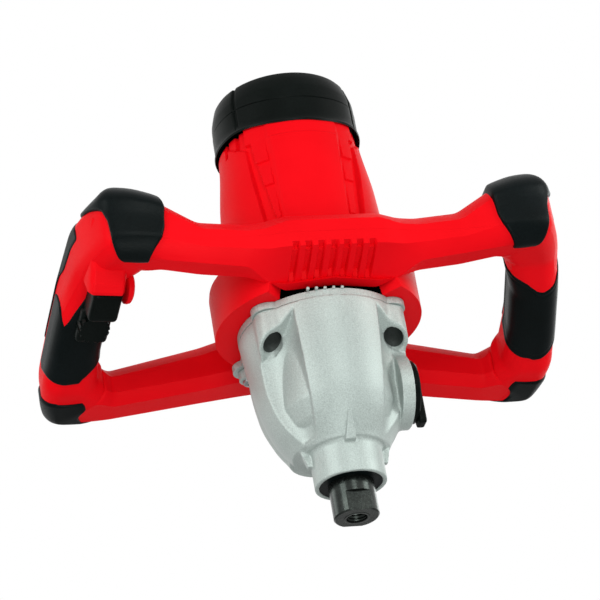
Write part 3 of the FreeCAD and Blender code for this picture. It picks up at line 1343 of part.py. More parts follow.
frame = frame.cut(list(pads.values()) + [gland_hole] + yoke_vents)
lower_shell = frame.common(lower_space).fuse([rib.common(outer_loop).common(lower_space) for rib in cradle])
shell_threads = [drum_solid(size("screw_radius") + 0.1, seat - size("screw_length") - 0.5, 230.0, x, y)
                 for x, y, seat in SHELL_SCREWS]
guard = guard.common(lower_space).cut(bumpers["left_front_bumper"])
lower_shell = lower_shell.fuse(guard).cut([opening] + list(pads.values()) + shell_threads)
upper_shell = frame.cut(lower_space).cut(
    [lock_hole, opening]
    + [drum_solid(size("screw_radius") + 0.3, 60.0, 230.0, x, y) for x, y, seat in SHELL_SCREWS]
    + [drum_solid(size("screw_head_radius") + 0.3, seat, 230.0, x, y) for x, y, seat in SHELL_SCREWS]
    + [drum_solid(size("screw_radius") + 0.3, drum_top, 230.0, x, y) for x, y in FRAME_SCREWS]
    + [drum_solid(size("screw_head_radius") + 0.3, FRAME_SEAT, 230.0, x, y) for x, y in FRAME_SCREWS]
)

# Each shell is stored in four lengths that meet face to face: its front, its two grips and its rear.
GRIP_START = -24.0
GRIP_END = 68.0
GRIP_INNER = 112.0
BEYOND = 300.0
right_grip_space = Part.makeBox(BEYOND, GRIP_END - GRIP_START, BEYOND, Vector(GRIP_INNER, GRIP_START, 0))
grip_spaces = [right_grip_space, mirrored(right_grip_space)]
front_space = Part.makeBox(2 * BEYOND, BEYOND, BEYOND, Vector(-BEYOND, motor_y - BEYOND, 0)).cut(grip_spaces)
rear_space = Part.makeBox(2 * BEYOND, BEYOND, BEYOND, Vector(-BEYOND, motor_y, 0)).cut(grip_spaces)


def in_lengths(shell):
    """A shell cut square across where its grips start and end."""
    lengths = [shell.common(space).Solids for space in [front_space] + grip_spaces + [rear_space]]
    return Part.makeCompound(sum(lengths, []))


keep(shaped("lower_shell_moulding", in_lengths(lower_shell.removeSplitter())), "handle_lower_shell")
keep(shaped("upper_shell_moulding", in_lengths(upper_shell.removeSplitter())), "handle_upper_shell")

shell_screws = [
    screw_solid(x, y, seat, size("screw_head_radius"), size("screw_head_height"), size("screw_radius"),
                size("screw_length"))
    for x, y, seat in SHELL_SCREWS
]
keep(shaped("shell_screw_set", Part.makeCompound(shell_screws)), "handle_screws")
frame_screws = [
    screw_solid(x, y, FRAME_SEAT, size("screw_head_radius"), size("screw_head_height"), size("screw_radius"),
                size("screw_length"))
    for x, y in FRAME_SCREWS
]
keep(shaped("frame_screw_set", Part.makeCompound(frame_screws)), "frame_screws")

# Check every object, then write one file per sub-part.
doc.recompute()
for item in doc.Objects:
    if "Invalid" in item.State or "Error" in item.State:
        raise RuntimeError(f"{item.Label} did not build: {item.State}")
os.makedirs("parts", exist_ok=True)
for piece in FINISHED:
    if piece.Shape.isNull() or not piece.Shape.isValid():
        raise RuntimeError(f"{piece.Label} has no valid shape")
    piece.Shape.exportStep(f"parts/{piece.Label}.step")
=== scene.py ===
import json
import math

import bpy
import numpy as np
from mathutils import Matrix, Vector


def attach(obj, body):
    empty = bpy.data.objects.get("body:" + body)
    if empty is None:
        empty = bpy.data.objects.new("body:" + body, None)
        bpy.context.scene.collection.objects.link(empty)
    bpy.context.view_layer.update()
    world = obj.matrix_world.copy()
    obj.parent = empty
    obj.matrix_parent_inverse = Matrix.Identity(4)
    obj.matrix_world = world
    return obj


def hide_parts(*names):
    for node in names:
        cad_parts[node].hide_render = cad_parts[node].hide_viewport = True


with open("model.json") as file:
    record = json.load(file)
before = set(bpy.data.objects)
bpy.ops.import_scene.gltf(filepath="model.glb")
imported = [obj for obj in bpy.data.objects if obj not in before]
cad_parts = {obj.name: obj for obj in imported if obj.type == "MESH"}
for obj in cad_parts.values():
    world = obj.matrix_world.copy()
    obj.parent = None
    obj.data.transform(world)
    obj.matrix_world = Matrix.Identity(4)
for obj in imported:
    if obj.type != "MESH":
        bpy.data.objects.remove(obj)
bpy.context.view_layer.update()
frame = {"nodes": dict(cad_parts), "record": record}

# Camera: the photograph looks up at the drill from below its left front, slightly rolled.
# Its angles and distance are fitted to the drill's size, in metres.
CAMERA_AZIMUTH = math.radians(-15.855)
CAMERA_ELEVATION = math.radians(-27.582)
CAMERA_ROLL = math.radians(9.936)
CAMERA_DISTANCE = 1.7586
CAMERA_TARGET = Vector((-0.010707, 0.0, 0.139218))
CAMERA_LENS = 183.28
SENSOR_WIDTH = 36.0
VIEW_DEPTH = 50.0
back = Vector((
    math.sin(CAMERA_AZIMUTH) * math.cos(CAMERA_ELEVATION),
    -math.cos(CAMERA_AZIMUTH) * math.cos(CAMERA_ELEVATION),
    math.sin(CAMERA_ELEVATION),
))
level_right = Vector((math.cos(CAMERA_AZIMUTH), math.sin(CAMERA_AZIMUTH), 0.0))
level_up = back.cross(level_right)
right = math.cos(CAMERA_ROLL) * level_right - math.sin(CAMERA_ROLL) * level_up
up = math.sin(CAMERA_ROLL) * level_right + math.cos(CAMERA_ROLL) * level_up
camera_data = bpy.data.cameras.new("camera")
camera_data.lens = CAMERA_LENS
camera_data.sensor_width = SENSOR_WIDTH
camera_data.clip_end = VIEW_DEPTH
camera = bpy.data.objects.new("camera", camera_data)
bpy.context.scene.collection.objects.link(camera)
camera.matrix_world = Matrix.Translation(CAMERA_TARGET + back * CAMERA_DISTANCE) @ Matrix((
    (right.x, up.x, back.x, 0.0),
    (right.y, up.y, back.y, 0.0),
    (right.z, up.z, back.z, 0.0),
    (0.0, 0.0, 0.0, 1.0),
))
bpy.context.scene.camera = camera
bpy.context.scene.view_settings.view_transform = "Standard"

# Surroundings: a white studio. The camera, mirroring surfaces and glass see it at full white, and it
# lights the drill at a lower level.
WORLD_LIGHT = 0.45


def add_node(tree, kind, **values):
    """A shader node with its input sockets set by name, underscores standing for spaces."""
    node = tree.nodes.new(kind)
    for name, value in values.items():
        node.inputs[name.replace("_", " ")].default_value = value
    return node


world = bpy.data.worlds.new("studio")
bpy.context.scene.world = world
world.use_nodes = True
world.node_tree.nodes.clear()
light_path = world.node_tree.nodes.new("ShaderNodeLightPath")
seen_or_mirrored = world.node_tree.nodes.new("ShaderNodeMath")
seen_or_mirrored.operation = "MAXIMUM"
shows_white = world.node_tree.nodes.new("ShaderNodeMath")
shows_white.operation = "MAXIMUM"
strength = add_node(world.node_tree, "ShaderNodeMapRange", To_Min=WORLD_LIGHT, To_Max=1.0)
surroundings = add_node(world.node_tree, "ShaderNodeBackground", Color=(1.0, 1.0, 1.0, 1.0))
world_output = world.node_tree.nodes.new("ShaderNodeOutputWorld")
for start, end in (
    (light_path.outputs["Is Camera Ray"], seen_or_mirrored.inputs[0]),
    (light_path.outputs["Is Glossy Ray"], seen_or_mirrored.inputs[1]),
    (seen_or_mirrored.outputs[0], shows_white.inputs[0]),
    (light_path.outputs["Is Transmission Ray"], shows_white.inputs[1]),
    (shows_white.outputs[0], strength.inputs["Value"]),
    (strength.outputs["Result"], surroundings.inputs["Strength"]),
    (surroundings.outputs[0], world_output.inputs["Surface"]),
):
    world.node_tree.links.new(start, end)

# Lamps: six square soft boxes around the drill, four before it and two behind that light its rims.
# Places and widths are in metres.
LAMP_COLOUR = (0.93, 1.0, 0.97)


def add_lamp(name, place, watts, width):
    """A square soft lamp turned towards the middle of the drill."""
    lamp = bpy.data.lights.new(name, "AREA")
    lamp.energy = watts
    lamp.size = width
    lamp.color = LAMP_COLOUR
    lamp_object = bpy.data.objects.new(name, lamp)
    bpy.context.scene.collection.objects.link(lamp_object)
    lamp_object.location = place
    towards = CAMERA_TARGET - Vector(place)
    lamp_object.rotation_euler = towards.to_track_quat("-Z", "Y").to_euler()


add_lamp("key_lamp", (-1.6, -1.0, 0.45), watts=16.0, width=0.9)
add_lamp("front_lamp", (0.0, -1.9, 0.5), watts=9.0, width=0.6)
add_lamp("side_lamp", (1.5, -0.8, 0.45), watts=14.0, width=0.8)
add_lamp("fill_lamp", (-0.2, -1.3, -1.2), watts=13.0, width=1.0)
add_lamp("left_rim_lamp", (-1.35, 0.9, 0.75), watts=3.0, width=0.7)
add_lamp("right_rim_lamp", (1.2, 1.1, 0.8), watts=2.5, width=0.7)

# Floor: a pale matt board, part of the stage and not of the drill. It lies so far below that the views from
# below stay above it.
FLOOR_HEIGHT = -1.9
FLOOR_HALF = 9.0
GRAIN_DEPTH = 0.0003
NOISE_LOW = 0.3
NOISE_HIGH = 0.7
SHADE_END = 0.35
COLOUR_START = 0.65


def add_material(name, colour, shade, drift, rough, grain, bump, metal=0.0, specular=0.5, fleck=0.0):
    """A principled finish. Broad noise drifts the colour to a shade; a fine grain scales the colour by one
    plus or minus the fleck, moves the roughness between two values and gives the bump its height."""
    material = bpy.data.materials.new(name)
    material.use_nodes = True
    tree = material.node_tree
    surface = tree.nodes["Principled BSDF"]
    surface.inputs["Metallic"].default_value = metal
    surface.inputs["Specular IOR Level"].default_value = specular
    place = tree.nodes.new("ShaderNodeTexCoord")
    broad = add_node(tree, "ShaderNodeTexNoise", Scale=drift, Detail=4.0)
    fine = add_node(tree, "ShaderNodeTexNoise", Scale=grain, Detail=3.0)
    colours = tree.nodes.new("ShaderNodeValToRGB")
    colours.color_ramp.elements[0].position = SHADE_END
    colours.color_ramp.elements[0].color = (*shade, 1.0)
    colours.color_ramp.elements[1].position = COLOUR_START
    colours.color_ramp.elements[1].color = (*colour, 1.0)
    speck = add_node(tree, "ShaderNodeMapRange", From_Min=NOISE_LOW, From_Max=NOISE_HIGH,
                     To_Min=1.0 - fleck, To_Max=1.0 + fleck)
    flecked = tree.nodes.new("ShaderNodeVectorMath")
    flecked.operation = "SCALE"
    roughness = add_node(tree, "ShaderNodeMapRange", From_Min=NOISE_LOW, From_Max=NOISE_HIGH,
                         To_Min=rough[0], To_Max=rough[1])
    relief = add_node(tree, "ShaderNodeBump", Strength=bump, Distance=GRAIN_DEPTH)
    for start, end in (
        (place.outputs["Object"], broad.inputs["Vector"]),
        (place.outputs["Object"], fine.inputs["Vector"]),
        (broad.outputs["Fac"], colours.inputs["Fac"]),
        (fine.outputs["Fac"], speck.inputs["Value"]),
        (colours.outputs["Color"], flecked.inputs[0]),
        (speck.outputs["Result"], flecked.inputs["Scale"]),
        (flecked.outputs["Vector"], surface.inputs["Base Color"]),
        (fine.outputs["Fac"], roughness.inputs["Value"]),
        (roughness.outputs["Result"], surface.inputs["Roughness"]),
        (fine.outputs["Fac"], relief.inputs["Height"]),
        (relief.outputs["Normal"], surface.inputs["Normal"]),
    ):
        tree.links.new(start, end)
    return material


pale_floor = add_material("pale_floor", colour=(0.86, 0.86, 0.86), shade=(0.84, 0.84, 0.84), drift=2.0,
                          rough=(0.6, 0.8), grain=60.0, bump=0.05)
floor_mesh = bpy.data.meshes.new("floor")
floor_mesh.from_pydata(
    [(x * FLOOR_HALF, y * FLOOR_HALF, FLOOR_HEIGHT) for x, y in ((-1, -1), (1, -1), (1, 1), (-1, 1))],
    [], [(0, 1, 2, 3)])
floor_mesh.materials.append(pale_floor)
floor = bpy.data.objects.new("floor", floor_mesh)
bpy.context.scene.collection.objects.link(floor)

# Gear housing: the aluminium die casting around the gears, screwed under the motor housing, with a fine grain
# outside. It is worked out as a distance field in millimetres: turned forms and bosses blend together,
# channels, wells and the gear chamber are taken out, and the zero level becomes the surface.
MM = 0.001
HOUSING_LOW = np.array([-54.0, -42.0, 17.0])
HOUSING_HIGH = np.array([52.0, 82.0, 123.0])
HOUSING_STEP = 0.7
KEPT_SHARE = 0.55
JOINT_HEIGHT = 121.0
CUT_TOP = 130.0
MOTOR_Y = 9.0
LAYSHAFT_Y = 37.5
SELECTOR_HEIGHT = 76.2
cast_aluminium = add_material("cast_aluminium", colour=(0.42, 0.465, 0.445), shade=(0.365, 0.405, 0.39),
                              drift=14.0, rough=(0.36, 0.58), grain=1500.0, bump=0.4, metal=0.3, specular=0.3,
                              fleck=0.2)


def ramp(value, low, high):
    """0 below low, 1 above high, an even S-shaped rise between."""
    share = np.clip((value - low) / (high - low), 0.0, 1.0)
    return share * share * (3.0 - 2.0 * share)


def blended(first, second, width):
    """Union of two distance fields with a fillet of about the given width."""
    share = np.clip(0.5 + 0.5 * (second - first) / width, 0.0, 1.0)
    return second * (1.0 - share) + first * share - width * share * (1.0 - share)


def removed(solid, tool, width):
    """A distance field with another taken out, its mouth broken by the given width."""
    return -blended(-solid, tool, width)


def net_surface(field, low, step):
    """A vertex in each grid cell that the zero level crosses, at the mean of the crossings on its edges,
    and a quad around each crossed grid edge."""
    inside = field < 0.0
    shape = np.array(field.shape) - 1
    offsets = [(i, j, k) for i in (0, 1) for j in (0, 1) for k in (0, 1)]

    def shifted(array, offset):
        """The array's values at one corner of every cell."""
        return array[tuple(slice(start, start + size) for start, size in zip(offset, shape))]

    count = sum(shifted(inside, offset).astype(np.int8) for offset in offsets)
    crossed = (count > 0) & (count < len(offsets))
    cells = np.argwhere(crossed)
    number = np.full(shape, -1)
    number[crossed] = np.arange(len(cells))
    total = np.zeros((len(cells), 3))
    hits = np.zeros(len(cells))
    for first in offsets:
        for axis in range(3):
            if first[axis]:
                continue
            second = tuple(value + (place == axis) for place, value in enumerate(first))
            start = shifted(field, first)[crossed]
            end = shifted(field, second)[crossed]
            hit = (start < 0.0) != (end < 0.0)
            share = start[hit] / (start[hit] - end[hit])
            spot = np.tile(np.array(first, float), (hit.sum(), 1))
            spot[:, axis] += share
            total[hit] += spot
            hits[hit] += 1
    points = np.array(low) + (cells + total / hits[:, None]) * step
    faces = []
    for axis in range(3):
        one, two = (axis + 1) % 3, (axis + 2) % 3
        start = np.moveaxis(inside, axis, 0)[:-1]
        end = np.moveaxis(inside, axis, 0)[1:]
        edges = np.argwhere(np.moveaxis(start != end, 0, axis))
        edges = edges[(edges[:, one] > 0) & (edges[:, two] > 0)]
        edges = edges[(edges[:, one] < shape[one]) & (edges[:, two] < shape[two])]
        leaving = inside[tuple(edges.T)]
        corners = []
        for back_one, back_two in ((1, 1), (0, 1), (0, 0), (1, 0)):
            cell = edges.copy()
            cell[:, one] -= back_one
            cell[:, two] -= back_two
            corners.append(number[tuple(cell.T)])
        quads = np.stack(corners, axis=-1)
        quads[~leaving] = quads[~leaving][:, ::-1]
        faces.append(quads)
    return points, np.concatenate(faces)


def add_piece(name, points, faces, material, body, slot, crease=35.0):
    """A mesh from points in millimetres, smooth except across edges sharper than the crease angle."""
    mesh = bpy.data.meshes.new(name)
    places = np.asarray(points, float).reshape(-1, 3) * MM
    mesh.from_pydata(places.tolist(), [], np.asarray(faces).tolist())
    mesh.validate()
    mesh.shade_smooth()
    mesh.set_sharp_from_angle(angle=math.radians(crease))
    mesh.materials.append(material)
    piece = bpy.data.objects.new(name, mesh)
    bpy.context.scene.collection.objects.link(piece)
    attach(piece, body)
    return piece


axes = [np.arange(low, high, HOUSING_STEP) for low, high in zip(HOUSING_LOW, HOUSING_HIGH)]
x, y, z = np.meshgrid(*axes, indexing="ij", sparse=True)
FLARE_SHARE = 0.9
TABLE_TOP = 140.0


def turned_field(steps, centre_y, softness=1):
    """Sideways distance to a turned form, a little less where it flares. Its radius is given at several
    heights, and a running mean over some millimetres softens the kinks."""
    heights, radii = np.array(steps).T
    fine = np.arange(0.0, TABLE_TOP)
    table = np.interp(fine, heights, radii)
    mean_width = 2 * softness + 1
    padded = np.pad(table, softness, mode="edge")
    table = np.convolve(padded, np.ones(mean_width) / mean_width, mode="valid")
    return FLARE_SHARE * (np.hypot(x, y - centre_y) - np.interp(z, fine, table))


def between(field, low, high):
    """A form cut off below and above two heights."""
    return np.maximum(field, np.maximum(low - z, z - high))


def post_field(post_x, post_y, radius, low, high):
    """Distance to an upright cylinder."""
    return between(np.hypot(x - post_x, y - post_y) - radius, low, high)


def line_at_height(line):
    """Two coordinates of a line that is given by its points at several heights."""
    return np.interp(z, line[:, 0], line[:, 1]), np.interp(z, line[:, 0], line[:, 2])


# Housing body: the outer forms as heights with radii, and the room for bearings and gears inside.
FORM_SOFTNESS = 6
NECK_START = 20.0
NECK_END = 60.0
POT_START = 40.5
MAIN_START = 43.5
BULGE_START = 54.0
NECK_STEPS = [(19.0, 20.5), (39.0, 20.5), (39.6, 21.6), (60.0, 23.0)]
POT_STEPS = [(38.0, 21.0), (46.0, 25.6), (52.0, 29.2), (60.0, 32.8), (70.0, 35.4), (84.0, 36.8),
             (121.0, 37.4)]
MAIN_STEPS = [(43.0, 26.0), (50.0, 32.5), (62.0, 38.5), (80.0, 42.8), (96.0, 45.0), (121.0, 47.5)]
BULGE_STEPS = [(54.0, 21.0), (62.0, 27.5), (80.0, 35.0), (98.0, 37.6), (121.0, 38.5)]
GEAR_ROOM_STEPS = [(46.0, 16.5), (55.0, 26.5), (66.0, 31.0), (CUT_TOP, 31.0)]
POT_FILLET = 5.0
BULGE_FILLET = 4.0
ROOM_BORES = [  # middle along y, radius, lower end, upper end
    (0.0, 18.0, 10.0, 28.0), (0.0, 17.5, 27.0, 38.0), (0.0, 13.6, 37.0, 47.0),
    (MOTOR_Y, 34.0, 93.5, CUT_TOP), (LAYSHAFT_Y, 11.0, 56.0, 64.0),
    (LAYSHAFT_Y, 22.0, 63.0, CUT_TOP), (LAYSHAFT_Y, 30.0, 93.5, CUT_TOP),
]
neck = between(turned_field(NECK_STEPS, 0.0), NECK_START, NECK_END)
pot = between(turned_field(POT_STEPS, 0.0, FORM_SOFTNESS), POT_START, JOINT_HEIGHT)
main_form = between(turned_field(MAIN_STEPS, MOTOR_Y, FORM_SOFTNESS), MAIN_START, JOINT_HEIGHT)
bulge = between(turned_field(BULGE_STEPS, LAYSHAFT_Y, FORM_SOFTNESS), BULGE_START, JOINT_HEIGHT)
gear_room = between(turned_field(GEAR_ROOM_STEPS, 0.0), GEAR_ROOM_STEPS[0][0], CUT_TOP)
chamber = np.minimum.reduce([gear_room] + [post_field(0.0, *bore) for bore in ROOM_BORES])
housing = blended(blended(main_form, pot, POT_FILLET), bulge, BULGE_FILLET)

# Front channels, ears and wells: each side's front has a long hollow between a crease and a ridge, which
# ends in a slanted facet under an ear. A screw well is bored through the ear from the facet.
EAR_X = 35.5
EAR_Y = -16.0
EAR_RADIUS = 8.2
EAR_START = 85.0
EAR_FILLET = 3.5
REAR_EAR_X = 34.0
REAR_EAR_Y = 52.0
REAR_EAR_RADIUS = 6.6
REAR_EAR_START = 115.0
REAR_EAR_FILLET = 2.5
WELL_RADIUS = 5.6
WELL_START = 80.0
WELL_END = 118.0
WELL_MOUTH = 2.0
WELL_EDGE = 0.6
SHANK_RADIUS = 2.9
SHANK_OVERLAP = 1.0
REAR_SHANK_START = 110.0
FACET_HEIGHT = 103.0
FACET_NORMAL = np.array([-0.264, -0.54, -0.80])
CREASE_LINE = np.array([(46.0, 19.4, -16.5), (62.0, 21.3, -22.5), (78.0, 22.5, -25.5), (92.0, 23.3, -28.5),
                        (112.0, 24.3, -31.0)])
RIDGE_LINE = np.array([(46.0, 27.0, -5.5), (62.0, 36.0, -4.0), (78.0, 39.3, -4.2), (92.0, 41.3, -6.4),
                       (112.0, 40.5, -12.3)])
RIGHT_RIDGE_SHIFT = -6.0
RIDGE_SHIFT_FADE = (86.0, 104.0)
CHANNEL_SAG = 0.16
CHANNEL_START = 44.0
CHANNEL_EDGE = 0.5
WALL = 1.6
crease_x, crease_y = line_at_height(CREASE_LINE)
wells = []
for side in (-1.0, 1.0):
    ridge_x, ridge_y = line_at_height(RIDGE_LINE)
    ridge_y = ridge_y + RIGHT_RIDGE_SHIFT * (side > 0.0) * (1.0 - ramp(z, *RIDGE_SHIFT_FADE))
    chord = np.hypot(ridge_x - crease_x, ridge_y - crease_y)
    # An arc over a chord has a radius of an eighth of the chord by its sag, and half the sag.
    channel_radius = chord * (0.125 / CHANNEL_SAG + 0.5 * CHANNEL_SAG)
    offset = (channel_radius - CHANNEL_SAG * chord) / chord
    channel_x = 0.5 * (crease_x + ridge_x) + offset * (ridge_y - crease_y)
    channel_y = 0.5 * (crease_y + ridge_y) - offset * (ridge_x - crease_x)
    channel = np.hypot(side * x - channel_x, y - channel_y) - channel_radius
    above_facet = -(FACET_NORMAL[0] * (side * x - EAR_X) + FACET_NORMAL[1] * (y - EAR_Y)
                    + FACET_NORMAL[2] * (z - FACET_HEIGHT))
    channel = np.maximum(np.maximum(channel, CHANNEL_START - z), np.maximum(above_facet, WALL - chamber))
    ear = np.maximum(post_field(side * EAR_X, EAR_Y, EAR_RADIUS, EAR_START, JOINT_HEIGHT), -above_facet)
    housing = removed(blended(housing, ear, EAR_FILLET), channel, CHANNEL_EDGE)
    well = post_field(side * EAR_X, EAR_Y, WELL_RADIUS, WELL_START, WELL_END)
    well = np.maximum(well, -above_facet - WELL_MOUTH)
    shank_bore = post_field(side * EAR_X, EAR_Y, SHANK_RADIUS, WELL_END - SHANK_OVERLAP, CUT_TOP)
    wells.append(np.minimum(well, shank_bore))
    rear_ear = post_field(side * REAR_EAR_X, REAR_EAR_Y, REAR_EAR_RADIUS, REAR_EAR_START, JOINT_HEIGHT)
    housing = blended(housing, rear_ear, REAR_EAR_FILLET)
    wells.append(post_field(side * REAR_EAR_X, REAR_EAR_Y, SHANK_RADIUS, REAR_SHANK_START, CUT_TOP))

# Bosses and fins: the selector's round boss on the right flank, a post that fills the flank under the right
# ear, the layshaft's bearing boss and three fins at the foot of the neck, all cast on.
BOSS_RADIUS = 21.5
BOSS_START = 34.0
BOSS_END = 41.5
BOSS_CORE_RADIUS = 11.0
BOSS_CORE_START = 20.0
BOSS_FILLET = 2.0
FLANK_X = 36.5
FLANK_Y = -5.0
FLANK_RADIUS = 6.0
FLANK_LOW = 78.0
FLANK_HIGH = 106.0
FLANK_FILLET = 4.0
NECK_FILLET = 1.0
LAY_BOSS_RADIUS = 12.5
LAY_BOSS_LOW = 49.0
LAY_BOSS_HIGH = 60.0
LAY_BOSS_FILLET = 3.0
FIN_X = -2.0
FIN_START = 5.0
FIN_HEIGHT = 15.0
FIN_TAPER = 14.0
FIN_TIP = 1.0
FIN_FILLET = 0.8
FINS = [  # direction, height of the foot, half width there, reach, slope
    (0.0, -1.0, 37.5, 3.3, 24.0, 0.45),
    (1.0, 0.0, 32.0, 1.8, 23.2, 0.28),
    (-1.0, 0.0, 32.0, 1.8, 23.2, 0.28),
]
from_selector = np.hypot(y, z - SELECTOR_HEIGHT)
boss = np.minimum(np.maximum(from_selector - BOSS_RADIUS, BOSS_START - x),
                  np.maximum(from_selector - BOSS_CORE_RADIUS, BOSS_CORE_START - x))
housing = blended(housing, np.maximum(boss, x - BOSS_END), BOSS_FILLET)
housing = blended(housing, post_field(FLANK_X, FLANK_Y, FLANK_RADIUS, FLANK_LOW, FLANK_HIGH), FLANK_FILLET)
housing = blended(housing, neck, NECK_FILLET)
lay_boss = post_field(0.0, LAYSHAFT_Y, LAY_BOSS_RADIUS, LAY_BOSS_LOW, LAY_BOSS_HIGH)
housing = blended(housing, lay_boss, LAY_BOSS_FILLET)
for fin_x, fin_y, foot, width, reach, slope in FINS:
    along = x * fin_x + y * fin_y
    across = np.abs((x - FIN_X) * fin_y + y * fin_x)
    thin = width - (width - FIN_TIP) * np.clip((z - foot) / FIN_TAPER, 0.0, 1.0)
    fin = np.maximum(across - thin, FLARE_SHARE * (along - reach - slope * (z - foot)))
    fin = np.maximum(fin, np.maximum(np.maximum(foot - z, z - foot - FIN_HEIGHT), FIN_START - along))
    housing = blended(housing, fin, FIN_FILLET)

# Machined faces and bores: the joint face, the chamber, the wells, the selector's stepped hole, the room for
# the fork and the knob's seat are cut last, and the surface is taken from the finished field.
SELECTOR_BORE_START = 20.0
SELECTOR_STEP = 36.0
SELECTOR_INNER_RADIUS = 7.2
SELECTOR_OUTER_RADIUS = 5.6
FORK_HALF_WIDTH = 6.2
FORK_HALF_HEIGHT = 6.6
FORK_ROOM_END = 33.4
KNOB_SEAT_RADIUS = 20.0
CASTING_CREASE = 50.0
housing = np.maximum(housing, z - JOINT_HEIGHT)
housing = np.maximum(housing, -chamber)
for well in wells:
    housing = removed(housing, well, WELL_EDGE)
selector_radius = np.where(x < SELECTOR_STEP, SELECTOR_INNER_RADIUS, SELECTOR_OUTER_RADIUS)
selector_hole = np.maximum(from_selector - selector_radius, SELECTOR_BORE_START - x)
fork_room = np.maximum(np.abs(y) - FORK_HALF_WIDTH, np.abs(z - SELECTOR_HEIGHT) - FORK_HALF_HEIGHT)
fork_room = np.maximum(fork_room, np.maximum(SELECTOR_BORE_START - x, x - FORK_ROOM_END))
knob_seat = np.maximum(from_selector - KNOB_SEAT_RADIUS, BOSS_END - x)
housing = np.maximum(housing, -np.minimum(np.minimum(selector_hole, fork_room), knob_seat))
housing_points, housing_faces = net_surface(housing, HOUSING_LOW, HOUSING_STEP)
gear_housing = add_piece("gear_housing_casting", housing_points, housing_faces, cast_aluminium, "frame",
                         "cast_aluminium", crease=CASTING_CREASE)
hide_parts("gear_housing")
lighter = gear_housing.modifiers.new("lighter", "DECIMATE")
lighter.ratio = KEPT_SHARE

# Bore shade: painted shade in the two front wells of the casting. A dark tube is laid on each bore's wall to
# stand in for the shadow inside the well, and its lower rim follows the facet that the well opens in.
BORE_GAP = 0.1
BORE_RADIUS = WELL_RADIUS - BORE_GAP
BORE_START = 1.6
BORE_SIDES = 48
BORE_ROWS = 12
# The near-black finish of these tubes is painted shade, not a colour of the casting.
painted_bore_shade = add_material("painted_bore_shade", colour=(0.07, 0.078, 0.074), shade=(0.04, 0.046, 0.043), drift=60.0,
                           rough=(0.45, 0.65), grain=1200.0, bump=0.3, metal=0.2, specular=0.2, fleck=0.15)


def grid_faces(rows, columns, closed_rows=False, closed_columns=False, flipped=False):
    """Quads between neighbouring rows and columns of a point grid."""
    row = np.arange(rows if closed_rows else rows - 1)
    column = np.arange(columns if closed_columns else columns - 1)
    row, column = np.meshgrid(row, column, indexing="ij")
    next_row = (row + 1) % rows
    next_column = (column + 1) % columns
    quads = np.stack([
        row * columns + column, next_row * columns + column,
        next_row * columns + next_column, row * columns + next_column,
    ], axis=-1).reshape(-1, 4)
    return quads[:, ::-1] if flipped else quads


def full_turn(count):
    """Angles in radians, evenly spaced around a circle."""
    return np.linspace(0.0, 2.0 * math.pi, count, endpoint=False)


def joined(*shapes):
    """Several point and face lists as one."""
    points, faces, total = [], [], 0
    for shape_points, shape_faces in shapes:
        points.append(shape_points)
        faces.append(shape_faces + total)
        total += len(shape_points)
    return np.concatenate(points), np.concatenate(faces)


bore_turn, bore_share = np.meshgrid(full_turn(BORE_SIDES), np.linspace(0.0, 1.0, BORE_ROWS))
bores = []
for side in (-1.0, 1.0):
    bore_x = BORE_RADIUS * np.cos(bore_turn)
    bore_y = BORE_RADIUS * np.sin(bore_turn)
    bore_low = FACET_HEIGHT - (FACET_NORMAL[0] * side * bore_x + FACET_NORMAL[1] * bore_y) / FACET_NORMAL[2]
    bore_z = bore_low + BORE_START + (WELL_END - bore_low - BORE_START) * bore_share
    bore = np.stack([side * EAR_X + bore_x, EAR_Y + bore_y, bore_z], axis=-1)
    bores.append((bore.reshape(-1, 3), grid_faces(*bore.shape[:2], closed_columns=True)))
# Painted shade: the dark tubes laid inside the front wells.
add_piece("well_bore_shade", *joined(*bores), painted_bore_shade, "frame", "cast_aluminium")

# Housing screws: four plated steel screws with round heads, put in from below through the casting's wells
# and lugs. Each is a turned profile of radii and heights.
SCREW_PROFILE = [(0.1, 113.6), (2.0, 113.6), (2.1, 112.6), (4.2, 113.0), (4.6, 113.6), (4.6, 117.8),
                 (2.6, 117.9), (2.6, 124.0), (0.1, 124.0)]
SCREW_SIDES = 28
screw_steel = add_material("screw_steel", colour=(0.36, 0.36, 0.37), shade=(0.27, 0.27, 0.28), drift=120.0,
                           rough=(0.25, 0.42), grain=900.0, bump=0.15, metal=1.0, fleck=0.08)


def turned_points(profile, count):
    """Rings of points around the z axis, one for each radius and height of the profile."""
    radii, heights = np.array(profile).T
    turn = full_turn(count)
    ring = np.stack([np.cos(turn), np.sin(turn), np.zeros(count)], axis=-1)
    points = radii[:, None, None] * ring
    points[..., 2] = heights[:, None]
    return points


screw = turned_points(SCREW_PROFILE, SCREW_SIDES)
screw_faces = grid_faces(*screw.shape[:2], closed_columns=True, flipped=True)
screw_places = [np.array([side * ear_x, ear_y, 0.0]) for side in (-1.0, 1.0)
                for ear_x, ear_y in ((EAR_X, EAR_Y), (REAR_EAR_X, REAR_EAR_Y))]
screws = [((screw + place).reshape(-1, 3), screw_faces) for place in screw_places]
housing_screws = add_piece("well_screws", *joined(*screws), screw_steel, "frame", "screw_steel")
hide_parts("gear_housing_screws")

# Selector: a flat round knob of black plastic on the right of the housing, moulded with a raised bar whose
# lower end stands out. It turns on the selector's shaft in the cast boss.
KNOB_PROFILE = [(0.1, 42.2), (17.2, 42.2), (18.2, 42.8), (18.2, 45.0), (17.4, 45.8), (0.1, 45.8)]
KNOB_SIDES = 72
BAR_LOW = (45.0, -4.5, SELECTOR_HEIGHT - 21.0)
BAR_HIGH = (50.0, 4.5, SELECTOR_HEIGHT + 16.0)
BAR_ROUND = 1.5
TURNED_TO_X = [2, 0, 1]
black_plastic = add_material("black_plastic", colour=(0.003, 0.0045, 0.004), shade=(0.0015, 0.0025, 0.002),
                             drift=25.0, rough=(0.28, 0.42), grain=1500.0, bump=0.25, specular=0.05,
                             fleck=0.3)


